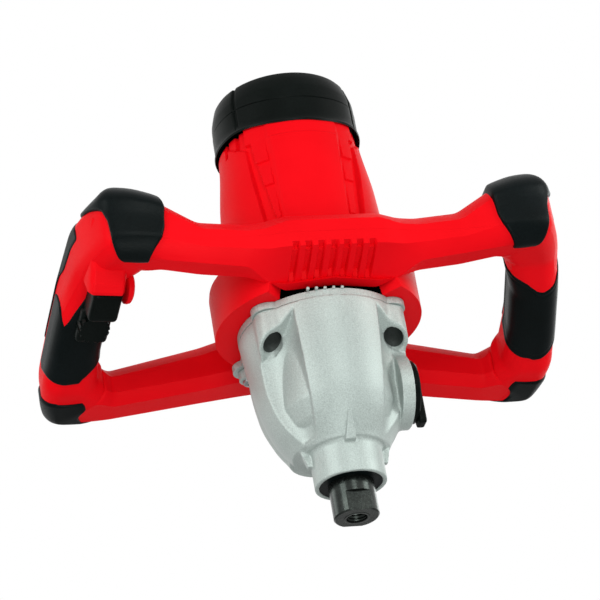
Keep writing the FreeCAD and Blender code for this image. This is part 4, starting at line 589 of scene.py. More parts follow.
def soft_block(low, high, radius, count=14):
    """A box with rounded edges: each point of a cube's skin is pulled in to a smaller box and pushed out
    again by the radius."""
    low, high = np.array(low), np.array(high)
    half = (high - low) / 2.0
    line = np.sin(np.linspace(-math.pi / 2.0, math.pi / 2.0, count))
    first, second = np.meshgrid(line, line, indexing="ij")
    blocks, faces = [], []
    for axis in range(3):
        for way in (-1.0, 1.0):
            skin = np.zeros((count, count, 3))
            skin[..., axis] = way
            skin[..., (axis + 1) % 3] = first
            skin[..., (axis + 2) % 3] = second
            skin = skin * half
            core = np.clip(skin, radius - half, half - radius)
            push = skin - core
            skin = core + radius * push / np.maximum(np.linalg.norm(push, axis=-1, keepdims=True), 1e-9)
            faces.append(grid_faces(count, count, flipped=way < 0.0) + len(blocks) * count * count)
            blocks.append(skin.reshape(-1, 3))
    return np.concatenate(blocks) + (low + high) / 2.0, np.concatenate(faces)


knob = turned_points(KNOB_PROFILE, KNOB_SIDES)[..., TURNED_TO_X] + np.array([0.0, 0.0, SELECTOR_HEIGHT])
knob_points, knob_faces = joined(
    (knob.reshape(-1, 3), grid_faces(*knob.shape[:2], closed_columns=True, flipped=True)),
    soft_block(BAR_LOW, BAR_HIGH, BAR_ROUND))
selector_knob = add_piece("selector_lever", knob_points, knob_faces, black_plastic, "selector",
                          "black_plastic")
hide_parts("selector_knob")

# Spindle mouth: the raised edge around the socket of the dark steel spindle, turned with it, and the thread
# that is cut into the socket's wall. The thread is a helix of even flanks that runs out at the mouth.
MOUTH_PROFILE = [(6.05, 0.4), (6.1, -0.1), (6.9, -0.25), (7.3, -0.15), (7.35, 0.1)]
MOUTH_SIDES = 64
THREAD_PITCH = 2.0
THREAD_RADIUS = 5.9
THREAD_DEPTH = 0.9
THREAD_SIDES = 48
THREAD_STEP = 0.2
THREAD_END = 24.0
THREAD_RUN_OUT = (0.4, 2.4)
dark_steel = add_material("dark_steel", colour=(0.04, 0.045, 0.041), shade=(0.022, 0.026, 0.024), drift=60.0,
                          rough=(0.16, 0.3), grain=700.0, bump=0.1, metal=0.85, fleck=0.1)
mouth = turned_points(MOUTH_PROFILE, MOUTH_SIDES)
add_piece("spindle_mouth", mouth, grid_faces(*mouth.shape[:2], closed_columns=True), dark_steel,
          "spindle_set", "dark_steel")
thread_heights = np.arange(THREAD_STEP, THREAD_END, THREAD_STEP)
thread_turn, thread_height = np.meshgrid(full_turn(THREAD_SIDES), thread_heights)
phase = (thread_height / THREAD_PITCH - thread_turn / (2.0 * math.pi)) % 1.0
flank = 1.0 - np.abs(2.0 * phase - 1.0)
thread_radius = THREAD_RADIUS - THREAD_DEPTH * flank * ramp(thread_height, *THREAD_RUN_OUT)
thread = np.stack([thread_radius * np.cos(thread_turn), thread_radius * np.sin(thread_turn), thread_height],
                  axis=-1)
add_piece("spindle_thread", thread, grid_faces(*thread.shape[:2], closed_columns=True), dark_steel,
          "spindle_set", "dark_steel")

# Outlet tabs: the small bright ends of the bearing plate's cast ribs, seen in the slit under the yoke.
# They are part of the plate's casting.
TAB_COUNT = 5
TAB_PITCH = 5.0
TAB_MIDDLE = -6.0
TAB_HALF = 0.8
TAB_FRONT = -39.4
TAB_BACK = -37.0
TAB_LOW = 124.6
TAB_HIGH = 126.2
TAB_ROUND = 0.3
TAB_GRID = 6
tabs = []
for tab in range(TAB_COUNT):
    tab_x = TAB_MIDDLE + (tab - (TAB_COUNT - 1) / 2.0) * TAB_PITCH
    tabs.append(soft_block((tab_x - TAB_HALF, TAB_FRONT, TAB_LOW), (tab_x + TAB_HALF, TAB_BACK, TAB_HIGH),
                           TAB_ROUND, TAB_GRID))
add_piece("outlet_tabs", *joined(*tabs), cast_aluminium, "frame", "cast_aluminium")

# Handle frame: the closed two-handed frame, moulded in red plastic as an upper and a lower shell that are
# screwed together around the loop. One tube is swept around both grips, and each shell is its part of the
# tube's skin. The sections are rectangles whose corners are round on the grips and nearly flat on the arms.
STATIONS = np.array([  # x, y, z, facing in degrees, half width, half height, upper corner, lower corner,
    # how far the outer lower corner reaches in, flatness of the corners
    (0.0, -45.75, 146.75, 0.0, 14.75, 16.75, 6.0, 11.0, 27.5, 0.92),
    (27.0, -43.25, 146.5, 0.0, 17.25, 17.0, 6.0, 11.5, 31.0, 0.92),
    (40.0, -43.0, 147.0, 0.0, 15.0, 16.0, 9.0, 10.0, 18.0, 0.9),
    (50.0, -43.5, 148.8, 0.0, 13.5, 13.9, 9.0, 7.5, 8.0, 0.85),
    (76.0, -43.5, 151.6, 0.0, 13.5, 13.6, 9.0, 7.0, 7.0, 0.85),
    (98.0, -44.0, 160.0, 0.0, 14.5, 18.6, 9.0, 9.0, 9.0, 0.6),
    (116.0, -41.0, 165.5, 40.0, 20.0, 21.0, 9.0, 10.0, 10.0, 0.4),
    (127.0, -18.0, 165.0, 85.0, 16.5, 19.5, 10.0, 10.0, 10.0, 0.2),
    (134.5, 8.0, 153.4, 90.0, 14.5, 17.5, 12.0, 12.0, 12.0, 0.0),
    (138.0, 36.0, 140.8, 90.0, 14.5, 17.5, 12.0, 12.0, 12.0, 0.0),
    (139.0, 58.0, 131.0, 90.0, 16.0, 16.5, 10.0, 10.0, 10.0, 0.2),
    (134.5, 78.5, 126.5, 135.0, 21.5, 14.2, 8.0, 7.0, 7.0, 0.5),
    (113.0, 80.0, 124.8, 180.0, 14.0, 12.2, 8.0, 6.0, 6.0, 0.85),
    (58.0, 78.0, 134.0, 180.0, 14.5, 14.6, 9.0, 6.0, 6.0, 0.85),
    (36.0, 76.0, 138.0, 180.0, 16.0, 16.0, 9.0, 6.0, 6.0, 0.85),
    (0.0, 74.0, 143.0, 180.0, 19.0, 17.0, 8.0, 7.0, 7.0, 0.85),
])
KINK_WIDTH = 4
SHELL_CREASE = 28.0
red_plastic = add_material("red_plastic", colour=(0.82, 0.003, 0.008), shade=(0.74, 0.002, 0.006), drift=18.0,
                           rough=(0.36, 0.52), grain=1100.0, bump=0.15, specular=0.035)
station_run = np.concatenate([[0.0], np.cumsum(np.linalg.norm(np.diff(STATIONS[:, :3], axis=0), axis=1))])
LOOP_LENGTH = station_run[-1]
loop_places = np.arange(0.0, math.ceil(LOOP_LENGTH) + 1.0)
kernel = np.concatenate([np.arange(1, KINK_WIDTH + 1), np.arange(KINK_WIDTH - 1, 0, -1)]).astype(float)
kernel /= kernel.sum()
loop_table = []
for column in STATIONS.T:
    plain = np.interp(loop_places, station_run, column)
    padded = np.pad(plain, KINK_WIDTH - 1, mode="edge")
    loop_table.append(np.convolve(padded, kernel, mode="valid"))


def loop_values(place):
    """The ten station values at a distance along the right half of the loop."""
    return [np.interp(place, loop_places, column) for column in loop_table]


def corner_curve(share, flat):
    """Unit corner from (1, 0) to (0, 1): an arc, or its chord where flat is 1."""
    turn = share * math.pi / 2.0
    return (1.0 - flat) * np.cos(turn) + flat * (1.0 - share), (1.0 - flat) * np.sin(turn) + flat * share


def on_loop(place, around, growth=0.0):
    """A point of the frame's skin. Around counts eight stretches: outer side upwards 0 to 1, its upper
    corner to 2, top to 3, corner to 4, inner side down to 5, corner to 6, bottom to 7, corner to 8."""
    x, y, z, facing, wide, high, top, low, reach, flat = loop_values(place)
    wide, high, top, low, reach = wide + growth, high + growth, top + growth, low + growth, reach + growth
    around = np.mod(around, 8.0)
    part = np.floor(around)
    share = around - part
    first, second = corner_curve(share, flat)
    straight = 1.0 - 2.0 * share
    out = np.select([part == number for number in range(8)], [
        wide, wide - top + top * first, (wide - top) * straight, top - wide - top * second,
        -wide, low - wide - low * first, low - wide + (2.0 * wide - low - reach) * share,
        wide - reach + reach * second])
    rise = np.select([part == number for number in range(8)], [
        (low - high) * (1.0 - share) + (high - top) * share, high - top + top * second, high,
        high - top + top * first, (high - top) * (1.0 - share) + (low - high) * share,
        low - high - low * second, -high, low - high - low * first])
    turn = np.radians(facing)
    return np.stack([x + out * np.sin(turn), y - out * np.cos(turn), z + rise], axis=-1)


# Shell joint: it falls from the front corner along the grip and rises again on the rear arm.
SPLIT_FRONT = 150.0
SPLIT_REAR = 130.0
SPLIT_FALL_START = -24.0
SPLIT_FALL_RUN = 86.0
REAR_ARM_Y = 62.0
REAR_ARM_RISE = 11.0
REAR_RISE_START = 100.0
REAR_RISE_END = 40.0
SPLIT_CORNER_FLAT = 0.3
SPLIT_HIGHEST = 0.95
CORNER_SAMPLES = 41


def split_around(place):
    """Where the joint between the two shells lies on the outer side: the stretch value at the height of the
    joint, on the side itself or down its lower corner."""
    x, y, z, facing, wide, high, top, low, reach, flat = loop_values(place)
    fallen = np.clip((y - SPLIT_FALL_START) / SPLIT_FALL_RUN, 0.0, 1.0)
    height = SPLIT_FRONT + (SPLIT_REAR - SPLIT_FRONT) * fallen
    rear_part = ramp(-x, -REAR_RISE_START, -REAR_RISE_END) * (y > REAR_ARM_Y)
    height = height + rear_part * REAR_ARM_RISE
    rise = height - z
    on_side = (rise - low + high) / (2.0 * high - top - low)
    share = np.linspace(0.0, 1.0, CORNER_SAMPLES)
    drop = corner_curve(share, SPLIT_CORNER_FLAT)[0]
    on_corner = np.interp((low - high - rise) / low, drop[::-1], share[::-1]) - 1.0
    return np.where(rise >= low - high, np.clip(on_side, 0.0, SPLIT_HIGHEST), on_corner)


# Vent slots: a row of seven moulded slots in the lower front facet of the yoke, for the cooling air.
VENT_COUNT = 7
VENT_PITCH = 7.4
VENT_HALF = 1.7
VENT_EDGE = 0.3
VENT_DEPTH = 4.5
VENT_SHIFT = -2.0
VENT_LOW = 0.25
VENT_HIGH = 1.1


def vent_depth(across, around):
    """Depth of the yoke's vent slots: stripes of an even pitch across its lower front facet."""
    row_x = across - VENT_SHIFT
    stripe = np.abs((row_x / VENT_PITCH + 0.5) % 1.0 - 0.5) * VENT_PITCH
    open_here = 1.0 - ramp(stripe, VENT_HALF - VENT_EDGE, VENT_HALF + VENT_EDGE)
    open_here = open_here * (np.abs(row_x) < VENT_PITCH * (VENT_COUNT / 2.0))
    along = np.mod(around + 1.0, 8.0)
    low_front = (along > VENT_LOW) & (along < VENT_HIGH)
    return VENT_DEPTH * open_here * low_front


# Shells: rows of the skin lie close together across the yoke's vents and wider apart on the rest of the loop.
YOKE_END = 29.0
YOKE_STEP = 0.45
COARSE_ROWS = 200
STRETCH_COLUMNS = 6
SEAM = 0.0015
LIP_DEPTH = 2.0
rows = np.concatenate([np.arange(0.0, YOKE_END, YOKE_STEP), np.linspace(YOKE_END, LOOP_LENGTH, COARSE_ROWS)])


def shell_strip(breaks):
    """Points over the given break columns, with a lip turned inwards along both edges: rows of the right
    half, front to rear, followed by those of the left half back to the front."""
    columns = [np.linspace(first, second, STRETCH_COLUMNS + 1)[:-1]
               for first, second in zip(breaks[:-1], breaks[1:])]
    around = np.concatenate(columns + [breaks[-1][None]]).T
    place = np.repeat(rows[:, None], around.shape[1], axis=1)
    halves = []
    for side in (1.0, -1.0):
        skin = on_loop(place, around)
        skin = on_loop(place, around, -vent_depth(side * skin[..., 0], around))
        lips = [on_loop(rows, around[:, edge], -LIP_DEPTH)[:, None] for edge in (0, -1)]
        halves.append(np.concatenate([lips[0], skin, lips[1]], axis=1) * np.array([side, 1.0, 1.0]))
    return np.concatenate([halves[0], halves[1][-2:0:-1]])


split = split_around(rows)
even = np.ones_like(rows)
inner_split = 5.0 - split
outer_split = 8.0 + split
upper_strip = shell_strip([split + SEAM, even, 2 * even, 3 * even, 4 * even, inner_split - SEAM])
lower_strip = shell_strip([inner_split + SEAM, np.maximum(inner_split + SEAM, 5.0), 6 * even, 7 * even,
                           np.minimum(outer_split - SEAM, 8.0), outer_split - SEAM])
for name, strip, node in (("frame_upper", upper_strip, "handle_upper_shell"),
                          ("frame_lower", lower_strip, "handle_lower_shell")):
    faces = grid_faces(*strip.shape[:2], closed_rows=True)
    shell = add_piece(name, strip, faces, red_plastic, "frame", "red_plastic", crease=SHELL_CREASE)
    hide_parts(node)

# Bumpers and grip pads: soft black rubber moulded onto the shells, the same on both sides but for the left
# lower pad, which leaves a red tongue and takes in the surround of the trigger. Each outline lists the
# stretch around the section with the first and the last place along the loop.
FRONT_BUMPER = [(-1.35, 108.0, 119.0), (-0.9, 106.0, 120.0), (-0.4, 103.0, 119.0), (0.0, 100.5, 118.5),
                (0.4, 98.5, 119.0), (0.75, 98.0, 121.0), (1.1, 97.0, 130.0), (1.4, 97.0, 136.0),
                (2.0, 97.0, 143.0), (3.3, 97.0, 144.0)]
REAR_BUMPER = [(6.2, 240.0, 250.0), (6.7, 238.0, 256.0), (7.1, 236.0, 262.0), (7.65, 237.0, 270.0),
               (8.7, 238.5, 276.0)]
UPPER_PAD = [(0.58, 139.0, 156.0), (0.75, 138.0, 162.0), (1.0, 138.0, 169.0), (1.1, 138.0, 214.0),
             (2.5, 145.0, 216.0), (3.9, 145.0, 214.0)]
RIGHT_LOWER_PAD = [(3.95, 148.0, 214.0), (5.2, 153.0, 216.0), (5.8, 156.5, 217.5), (6.2, 162.0, 218.0),
                   (6.6, 165.5, 219.5), (7.05, 166.5, 219.0), (7.5, 164.0, 216.0), (7.9, 158.0, 212.0),
                   (8.5, 150.0, 205.0)]
LEFT_LOWER_PAD = [(3.95, 153.0, 207.0), (5.7, 153.0, 214.0), (6.2, 153.0, 221.0), (7.05, 152.0, 222.0),
                  (7.28, 166.5, 222.0), (7.46, 181.0, 222.0), (7.54, 181.0, 222.0), (7.72, 175.0, 222.5),
                  (7.9, 171.5, 223.0), (8.5, 173.5, 228.0), (8.98, 177.5, 226.0)]
RIM_ROWS = np.array([0.0, 0.008, 0.018, 0.03, 0.045, 0.065])
MIDDLE_ROWS = np.linspace(0.09, 0.91, 38)
STRETCH_LENGTH = 13.0
TUCK = 1.6
GROOVE_INSET = 4.0
GROOVE_HALF = 0.5
CROWN_RISE = (0.6, 1.4)
CROWN_FALL = (108.0, 126.0)
PAD_CREASE = 50.0
black_rubber = add_material("black_rubber", colour=(0.003, 0.005, 0.0055), shade=(0.0015, 0.003, 0.003),
                            drift=30.0, rough=(0.3, 0.44), grain=1300.0, bump=0.25, specular=0.06, fleck=0.25)


def rim_ramp(distance, width):
    """A quarter-round rise over the given width."""
    share = np.clip(distance / width, 0.0, 1.0)
    return np.sqrt(1.0 - (1.0 - share) ** 2)


def loop_patch(side, edges, proud, softness, rim=2.2, groove=0.0, crown=0.0):
    """Points of a moulded pad over the loop. A square grid is softened towards a disc and laid between the
    outline's edges. The rim dips under the shell's skin, a groove runs inside it, and a crown adds height."""
    around_marks, first_marks, last_marks = np.array(edges).T
    fine = np.concatenate([RIM_ROWS, MIDDLE_ROWS, 1.0 - RIM_ROWS[::-1]])
    along, across = np.meshgrid(2.0 * fine - 1.0, 2.0 * fine - 1.0, indexing="ij")
    soft_along = 0.5 + 0.5 * along * np.sqrt(1.0 - softness * across ** 2 / 2.0)
    soft_across = 0.5 + 0.5 * across * np.sqrt(1.0 - softness * along ** 2 / 2.0)
    around = around_marks[0] + (around_marks[-1] - around_marks[0]) * soft_across
    first = np.interp(around, around_marks, first_marks)
    last = np.interp(around, around_marks, last_marks)
    place = first + (last - first) * soft_along
    length = (last - first).max()
    width = STRETCH_LENGTH * (around_marks[-1] - around_marks[0])
    inset = np.minimum((1.0 - np.abs(along)) * length, (1.0 - np.abs(across)) * width) / 2.0
    crowned = proud + crown * ramp(around, *CROWN_RISE) * (1.0 - ramp(place, *CROWN_FALL))
    growth = -TUCK + (crowned + TUCK) * rim_ramp(inset, rim)
    growth = growth - groove * np.exp(-((inset - GROOVE_INSET) / GROOVE_HALF) ** 2)
    points = on_loop(place, around, growth)
    return points * np.array([side, 1.0, 1.0])


def add_patch(name, points, nodes):
    """A rubber pad from its grid of points, faces outward on either side of the drill."""
    on_left = points[..., 0].mean() <= 0.0
    faces = grid_faces(*points.shape[:2], flipped=on_left)
    piece = add_piece(name, points, faces, black_rubber, "frame", "black_rubber", crease=PAD_CREASE)
    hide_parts(*nodes)


for side, word in ((-1.0, "left"), (1.0, "right")):
    front_bumper = loop_patch(side, FRONT_BUMPER, proud=1.9, softness=0.12, rim=2.6, crown=2.6)
    add_patch(word + "_bumper_front", front_bumper, [word + "_front_bumper"])
    rear_bumper = loop_patch(side, REAR_BUMPER, proud=1.2, softness=0.08)
    add_patch(word + "_bumper_rear", rear_bumper, [word + "_rear_bumper"])
    upper_pad = loop_patch(side, UPPER_PAD, proud=0.6, softness=0.08)
    add_patch(word + "_pad_upper", upper_pad, [word + "_upper_grip_pad"])
right_lower_pad = loop_patch(1.0, RIGHT_LOWER_PAD, proud=0.7, softness=0.08, groove=0.5)
add_patch("right_pad_lower", right_lower_pad, ["right_lower_grip_pad"])
left_lower_pad = loop_patch(-1.0, LEFT_LOWER_PAD, proud=0.7, softness=0.04)
add_patch("left_pad_lower", left_lower_pad, ["left_lower_grip_pad", "trigger_bezel"])

# Trigger hood: the red guard ahead of the trigger, moulded on the lower shell's left grip. A profile along
# the grip is carried across it, rounded at both sides. The grip's own frame follows its slope.
GRIP_ORIGIN = np.array([-130.5, 0.0, 156.95])
GRIP_SWING = Matrix.Rotation(math.radians(8.0), 3, "Z")
GRIP_SLOPE = Matrix.Rotation(math.radians(-24.0), 3, "X")
GRIP_TURN = np.array(GRIP_SWING @ GRIP_SLOPE)
HOOD_PROFILE = np.array([(-48.0, -8.0), (-40.0, -14.0), (-33.0, -20.0), (-26.0, -25.5), (-19.0, -29.2),
                         (-14.6, -30.8), (-13.0, -30.8), (-12.6, -30.2), (-12.6, -6.0)])
HOOD_OUTER = -10.8
HOOD_INNER = 10.4
HOOD_ROUND = 3.0
HOOD_SIDE_RISE = 16.0
HOOD_TOP = -5.0
HOOD_STEPS = 65
HOOD_CREASE = 40.0


def in_grip(points):
    """Points of the grip's own frame in the drill's frame."""
    return GRIP_ORIGIN + points @ GRIP_TURN.T


def spread(marks, count):
    """Points evenly spread by number along a line of marks."""
    run = np.linspace(0.0, len(marks) - 1.0, count)
    return np.stack([np.interp(run, np.arange(len(marks)), column) for column in marks.T], axis=-1)


hood_line = spread(HOOD_PROFILE, HOOD_STEPS)
round_inset = np.array([HOOD_ROUND, 1.2, 0.4, 0.0])
round_rise = HOOD_ROUND - np.sqrt(HOOD_ROUND ** 2 - round_inset ** 2)
hood_across = np.concatenate([[HOOD_OUTER], HOOD_OUTER + HOOD_ROUND - round_inset,
                              (HOOD_INNER - HOOD_ROUND + round_inset)[::-1], [HOOD_INNER]])
hood_rise = np.concatenate([[HOOD_SIDE_RISE], round_rise, round_rise[::-1], [HOOD_SIDE_RISE]])
hood_height = np.minimum(hood_line[:, 1] + hood_rise[:, None], HOOD_TOP)
hood_points = np.stack(np.broadcast_arrays(hood_across[:, None], hood_line[:, 0], hood_height), axis=-1)
hood_faces = grid_faces(*hood_points.shape[:2], flipped=True)
add_piece("trigger_hood", in_grip(hood_points.reshape(-1, 3)), hood_faces, red_plastic, "frame",
          "red_plastic", crease=HOOD_CREASE)

# Trigger: a black plastic paddle under the left grip, moulded as a deep front block and a shallower rear one.
# It slides up into the grip against the switch.
PADDLE_FRONT = ((-7.2, -12.0, -29.5), (10.4, 8.0, -6.0))
PADDLE_REAR = ((-8.5, 5.0, -21.0), (10.4, 29.0, -6.0))
PADDLE_ROUND = 3.0
PADDLE_CREASE = 60.0
trigger_points, trigger_faces = joined(
    soft_block(*PADDLE_FRONT, PADDLE_ROUND),
    soft_block(*PADDLE_REAR, PADDLE_ROUND))
trigger = add_piece("trigger_paddle", in_grip(trigger_points), trigger_faces, black_plastic, "trigger_set",
                    "black_plastic", crease=PADDLE_CREASE)
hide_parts("trigger")

# Lock button: a red plastic disc with rounded edges on the inner side of the left grip, beside the trigger.
# It is pressed in to hold the trigger on.
LOCK_PROFILE = [(0.1, 13.6), (8.6, 13.6), (9.4, 14.0), (9.6, 15.4), (9.2, 16.8), (8.0, 17.6), (0.1, 17.6)]
LOCK_CENTRE = np.array([0.0, -9.0, -17.0])
LOCK_SIDES = 56
lock_points = turned_points(LOCK_PROFILE, LOCK_SIDES)[..., TURNED_TO_X] + LOCK_CENTRE
lock_faces = grid_faces(*lock_points.shape[:2], closed_columns=True, flipped=True)
lock_button = add_piece("lock_disc", in_grip(lock_points.reshape(-1, 3)), lock_faces, red_plastic, "lock",
                        "red_plastic")
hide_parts("lock_button")

# Motor housing: red moulded plastic, a drum around the fan and a barrel around the motor, seated on the
# bearing plate. One turned skin, with an arched air outlet at the drum's front and relief on the barrel's
# front: a plain middle band, three blocks a side, a sunk strip and a raised side panel.
DRUM_RADIUS = 60.3
DRUM_PROFILE = np.array([
    (47.0, 125.4), (DRUM_RADIUS, 125.2), (DRUM_RADIUS, 151.0), (59.6, 154.5), (57.0, 157.0), (52.5, 158.2),
    (48.6, 159.0), (47.4, 160.5),
])
BARREL_HEIGHTS = (158.0, 250.0)
BARREL_RADII = (47.5, 41.8)
BARREL_START = 161.2
BARREL_END = 244.0
BARREL_STEP = 0.75
FRONT_HALF = 110.0
FRONT_STEP = 0.6
REAR_STEP = 3.5
OUTLET_HALF = 40.0
OUTLET_LOW = 125.0
OUTLET_TOP = 148.0
OUTLET_POWER = 6


def barrel_radius(height):
    """The barrel's draft: its radius falls evenly from its foot to its top."""
    return np.interp(height, BARREL_HEIGHTS, BARREL_RADII)


barrel_heights = np.arange(BARREL_START, BARREL_END, BARREL_STEP)
profile = np.concatenate([DRUM_PROFILE, np.stack([barrel_radius(barrel_heights), barrel_heights], axis=1)])
angles = np.concatenate([np.arange(-FRONT_HALF, FRONT_HALF, FRONT_STEP),
                         np.arange(FRONT_HALF, 360.0 - FRONT_HALF, REAR_STEP)])
angle, radius = np.meshgrid(angles, profile[:, 0], indexing="xy")
height = np.repeat(profile[:, 1:2], len(angles), axis=1)
arch = np.clip(1.0 - (angle / OUTLET_HALF) ** OUTLET_POWER, 0.0, 1.0)
height = np.maximum(height, OUTLET_LOW + (OUTLET_TOP - OUTLET_LOW) * arch)

# Barrel relief: heights above the plain skin, by angle from the front and by height. Edges are given for the
# left and the right side as degrees at two heights.
EDGE_HEIGHTS = (175.0, 231.0)
RELIEF_START = 160.0
BAND_RISE = 1.1
BAND_FALL = 1.2
BLOCK_MARKS = (231.5, 216.5, 199.5, 176.0)
BLOCK_RISE = 1.3
STRIP_SINK = 1.9
STRIP_EDGE = 0.4
COLLAR = 232.0
COLLAR_RISE = 0.6
COLLAR_HALF = 50.0
PANEL_TURNS = (50.0, 80.0)
PANEL_TOPS = (230.0, 243.0)
PANEL_RISE = 1.4
PANEL_FOOT_RISE = 2.0
PANEL_FADE = (202.0, 238.0)
PANEL_EDGE = 0.6
PANEL_TOP_EDGE = 1.5
RELIEF_FOOT = (174.0, 176.0)
REAR_FADE = (138.0, 150.0)
FOOT_BAND_HALF = 40.0
SLOT_ANGLES = (-60.0, -74.0, 66.0, 78.0)
SLOT_HALF = 2.2
SLOT_DEPTH = 2.0
SLOT_FOOT = (233.0, 234.0)
BARREL_CREASE = 24.0


def side_edge(height, left, right):
    """Angle of a relief edge: each side by its angle at two heights, even between them."""
    on_left = np.interp(height, EDGE_HEIGHTS, left)
    on_right = np.interp(height, EDGE_HEIGHTS, right)
    return np.where(angle < 0.0, on_left, on_right)


turn = np.abs(angle)
band_edge = side_edge(height, left=(25.3, 26.8), right=(20.3, 26.0))
block_start = side_edge(height, left=(28.0, 32.0), right=(22.5, 29.7))
block_end = side_edge(height, left=(31.5, 45.0), right=(27.5, 42.0))
strip_end = side_edge(height, left=(40.5, 50.5), right=(35.5, 48.5))
past_band = np.clip((turn - band_edge) / np.maximum(block_start - band_edge, 1.0), 0.0, 1.0)
relief = BAND_RISE - BAND_FALL * past_band
on_block = (turn > block_start) & (turn < block_end)
for block_top, block_foot in zip(BLOCK_MARKS[:-1], BLOCK_MARKS[1:]):
    in_block = on_block & (height < block_top) & (height >= block_foot)
    relief = relief + BLOCK_RISE * (block_top - height) / (block_top - block_foot) * in_block
past_block = ramp(turn, block_end - STRIP_EDGE, block_end + STRIP_EDGE)
relief = relief - STRIP_SINK * past_block * ((height < COLLAR) | (turn > strip_end))
panel_top = np.interp(turn, PANEL_TURNS, PANEL_TOPS)
panel = PANEL_RISE + PANEL_FOOT_RISE * (1.0 - ramp(height, *PANEL_FADE))
panel = panel * (1.0 - ramp(height, panel_top - PANEL_TOP_EDGE, panel_top))
relief = relief + panel * ramp(turn, strip_end - PANEL_EDGE, strip_end + PANEL_EDGE)
relief = np.where((height < COLLAR) | (turn > COLLAR_HALF), relief, np.minimum(relief, COLLAR_RISE))
relief = relief * ramp(height, *RELIEF_FOOT) * (1.0 - ramp(turn, *REAR_FADE))
below_relief = (1.0 - ramp(height, *RELIEF_FOOT)) * (height > RELIEF_START)
relief = relief + BAND_RISE * below_relief * (turn < FOOT_BAND_HALF)
for slot_angle in SLOT_ANGLES:
    relief = relief - SLOT_DEPTH * (np.abs(angle - slot_angle) < SLOT_HALF) * ramp(height, *SLOT_FOOT)
radius = radius + relief * (height > RELIEF_START)
radians = np.radians(angle)
housing_skin = np.stack([radius * np.sin(radians), MOTOR_Y - radius * np.cos(radians), height], axis=-1)
skin_faces = grid_faces(*housing_skin.shape[:2], closed_columns=True, flipped=True)
motor_housing = add_piece("motor_housing_skin", housing_skin, skin_faces, red_plastic, "frame", "red_plastic",
                          crease=BARREL_CREASE)
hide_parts("motor_housing")

# Yoke apron: the part of the red upper shell that leans back from the yoke's front into the barrel's plain
# middle band, with a slanted facet each side. It is ruled between a front and a back line and slightly bowed.
APRON_FRONT = np.array([(-44.0, -44.0, 156.0), (-40.0, -48.0, 158.0), (-27.0, -57.5, 160.0),
                        (27.0, -57.5, 160.0), (40.0, -48.0, 158.0), (44.0, -44.0, 156.0)])
APRON_ANGLES = np.radians([-52.0, -44.0, -30.0, 26.0, 42.0, 50.0])
APRON_HEIGHTS = np.array([164.0, 168.0, 175.0, 175.0, 168.0, 164.0])
APRON_LIFT = 0.4
APRON_COLUMNS = 61
APRON_ROWS = 15
APRON_BOW = 1.5
APRON_BOW_WIDTH = 45.0
APRON_CREASE = 25.0
apron_radii = barrel_radius(APRON_HEIGHTS) + APRON_LIFT
apron_back = np.stack([apron_radii * np.sin(APRON_ANGLES), MOTOR_Y - apron_radii * np.cos(APRON_ANGLES),
                       APRON_HEIGHTS], axis=1)
apron_share = np.linspace(0.0, 1.0, APRON_ROWS)[:, None, None]
apron = spread(APRON_FRONT, APRON_COLUMNS) * (1.0 - apron_share)
apron = apron + spread(apron_back, APRON_COLUMNS) * apron_share
bow = np.sin(np.linspace(0.0, math.pi, APRON_ROWS))[:, None]
apron[..., 1] = apron[..., 1] - APRON_BOW * bow * np.cos(apron[..., 0] / APRON_BOW_WIDTH)
add_piece("yoke_apron", apron, grid_faces(APRON_ROWS, APRON_COLUMNS, flipped=True), red_plastic, "frame",
          "red_plastic", crease=APRON_CREASE)

# Top cap: a black plastic cup screwed over the barrel's top, with a bevelled rim, a thin line around it and
# four grooves. Its lower edge rises from the front to the sides.
CAP_PROFILE = np.array([
    (41.5, 241.5), (43.4, 240.0), (43.7, 241.2), (43.0, 242.6), (42.9, 246.0), (42.9, 250.0), (42.9, 254.0),
    (42.9, 256.2), (42.3, 256.6), (42.7, 257.1), (42.7, 260.0), (42.6, 264.0), (42.4, 266.0), (41.4, 270.0),
    (40.2, 274.0), (39.2, 275.4), (37.0, 276.1), (20.0, 276.4), (6.0, 276.4), (0.2, 276.4),
])
CAP_GROOVE_ANGLES = (-55.0, 57.0, 125.0, -125.0)
CAP_GROOVE_SPREAD = 1.6
CAP_GROOVE_DEPTH = 1.6
CAP_GROOVE_RADII = (36.0, 39.0)
CAP_GROOVE_FOOT = 244.0
EDGE_RISE = 3.5
EDGE_RISE_TURN = (12.0, 62.0)
EDGE_RISE_FADE = (250.0, 268.0)
CAP_CREASE = 30.0
cap_angles = np.arange(0.0, 360.0, 1.0)
cap_radius = np.repeat(CAP_PROFILE[:, :1], len(cap_angles), axis=1)
cap_height = np.repeat(CAP_PROFILE[:, 1:2], len(cap_angles), axis=1)
wrapped = (cap_angles + 180.0) % 360.0 - 180.0
for groove_angle in CAP_GROOVE_ANGLES:
    notch = np.exp(-((wrapped - groove_angle) / CAP_GROOVE_SPREAD) ** 4)
    notch = notch * ramp(cap_radius, *CAP_GROOVE_RADII) * (cap_height > CAP_GROOVE_FOOT)
    cap_radius = cap_radius - CAP_GROOVE_DEPTH * notch
cap_radians = np.radians(wrapped)
edge_rise = EDGE_RISE * ramp(np.abs(wrapped), *EDGE_RISE_TURN) * (1.0 - ramp(cap_height, *EDGE_RISE_FADE))
cap_skin = np.stack([cap_radius * np.sin(cap_radians), MOTOR_Y - cap_radius * np.cos(cap_radians),
                     cap_height + edge_rise], axis=-1)
cap_faces = grid_faces(*cap_skin.shape[:2], closed_columns=True, flipped=True)
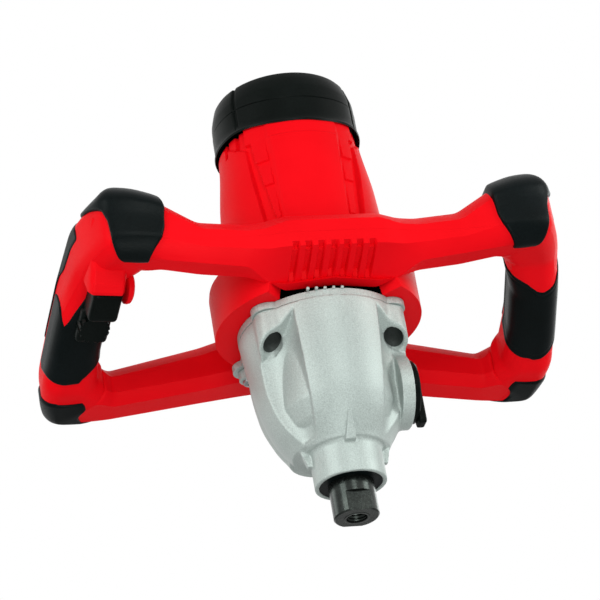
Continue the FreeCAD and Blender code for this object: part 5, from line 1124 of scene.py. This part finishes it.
top_cap = add_piece("top_cap_skin", cap_skin, cap_faces, black_plastic, "frame", "black_plastic",
                    crease=CAP_CREASE)
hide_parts("top_cap")

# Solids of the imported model: what is still shown as built, such as the spindle, the bearing plate, the steel
# gears and bearings, the copper windings, the brass brush holders and the carbon brushes. Each takes the
# finish of its slot, with soft shading and crisp edges.
WELD_REACH = 0.00001
EDGE_ANGLE = math.radians(32.0)
bright_steel = add_material("bright_steel", colour=(0.5, 0.5, 0.52), shade=(0.42, 0.42, 0.44), drift=40.0,
                            rough=(0.2, 0.38), grain=800.0, bump=0.15, metal=1.0, fleck=0.06)
lamination_steel = add_material("lamination_steel", colour=(0.25, 0.26, 0.28), shade=(0.17, 0.18, 0.2),
                                drift=300.0, rough=(0.35, 0.55), grain=1200.0, bump=0.3, metal=0.9, fleck=0.1)
copper = add_material("copper", colour=(0.62, 0.25, 0.12), shade=(0.45, 0.17, 0.08), drift=90.0,
                      rough=(0.25, 0.4), grain=600.0, bump=0.5, metal=0.9, fleck=0.12)
brass_sheet = add_material("brass_sheet", colour=(0.62, 0.45, 0.17), shade=(0.5, 0.35, 0.13), drift=50.0,
                           rough=(0.25, 0.4), grain=900.0, bump=0.12, metal=1.0, fleck=0.06)
carbon = add_material("carbon", colour=(0.03, 0.03, 0.032), shade=(0.02, 0.02, 0.021), drift=80.0,
                      rough=(0.5, 0.7), grain=1500.0, bump=0.35, fleck=0.2)
finishes = {
    "red_plastic": red_plastic, "black_plastic": black_plastic, "black_rubber": black_rubber,
    "cast_aluminium": cast_aluminium, "dark_steel": dark_steel, "bright_steel": bright_steel,
    "screw_steel": screw_steel, "lamination_steel": lamination_steel, "copper": copper,
    "brass_sheet": brass_sheet, "carbon": carbon,
}
for entry in frame["record"]["subparts"]:
    solid = frame["nodes"][entry["node"]]
    solid.data.materials.clear()
    solid.data.materials.append(finishes[entry["material_slot"]])
    weld = solid.modifiers.new("weld", "WELD")
    weld.merge_threshold = WELD_REACH
    crisp = solid.modifiers.new("edges", "EDGE_SPLIT")
    crisp.split_angle = EDGE_ANGLE
    solid.data.shade_smooth()
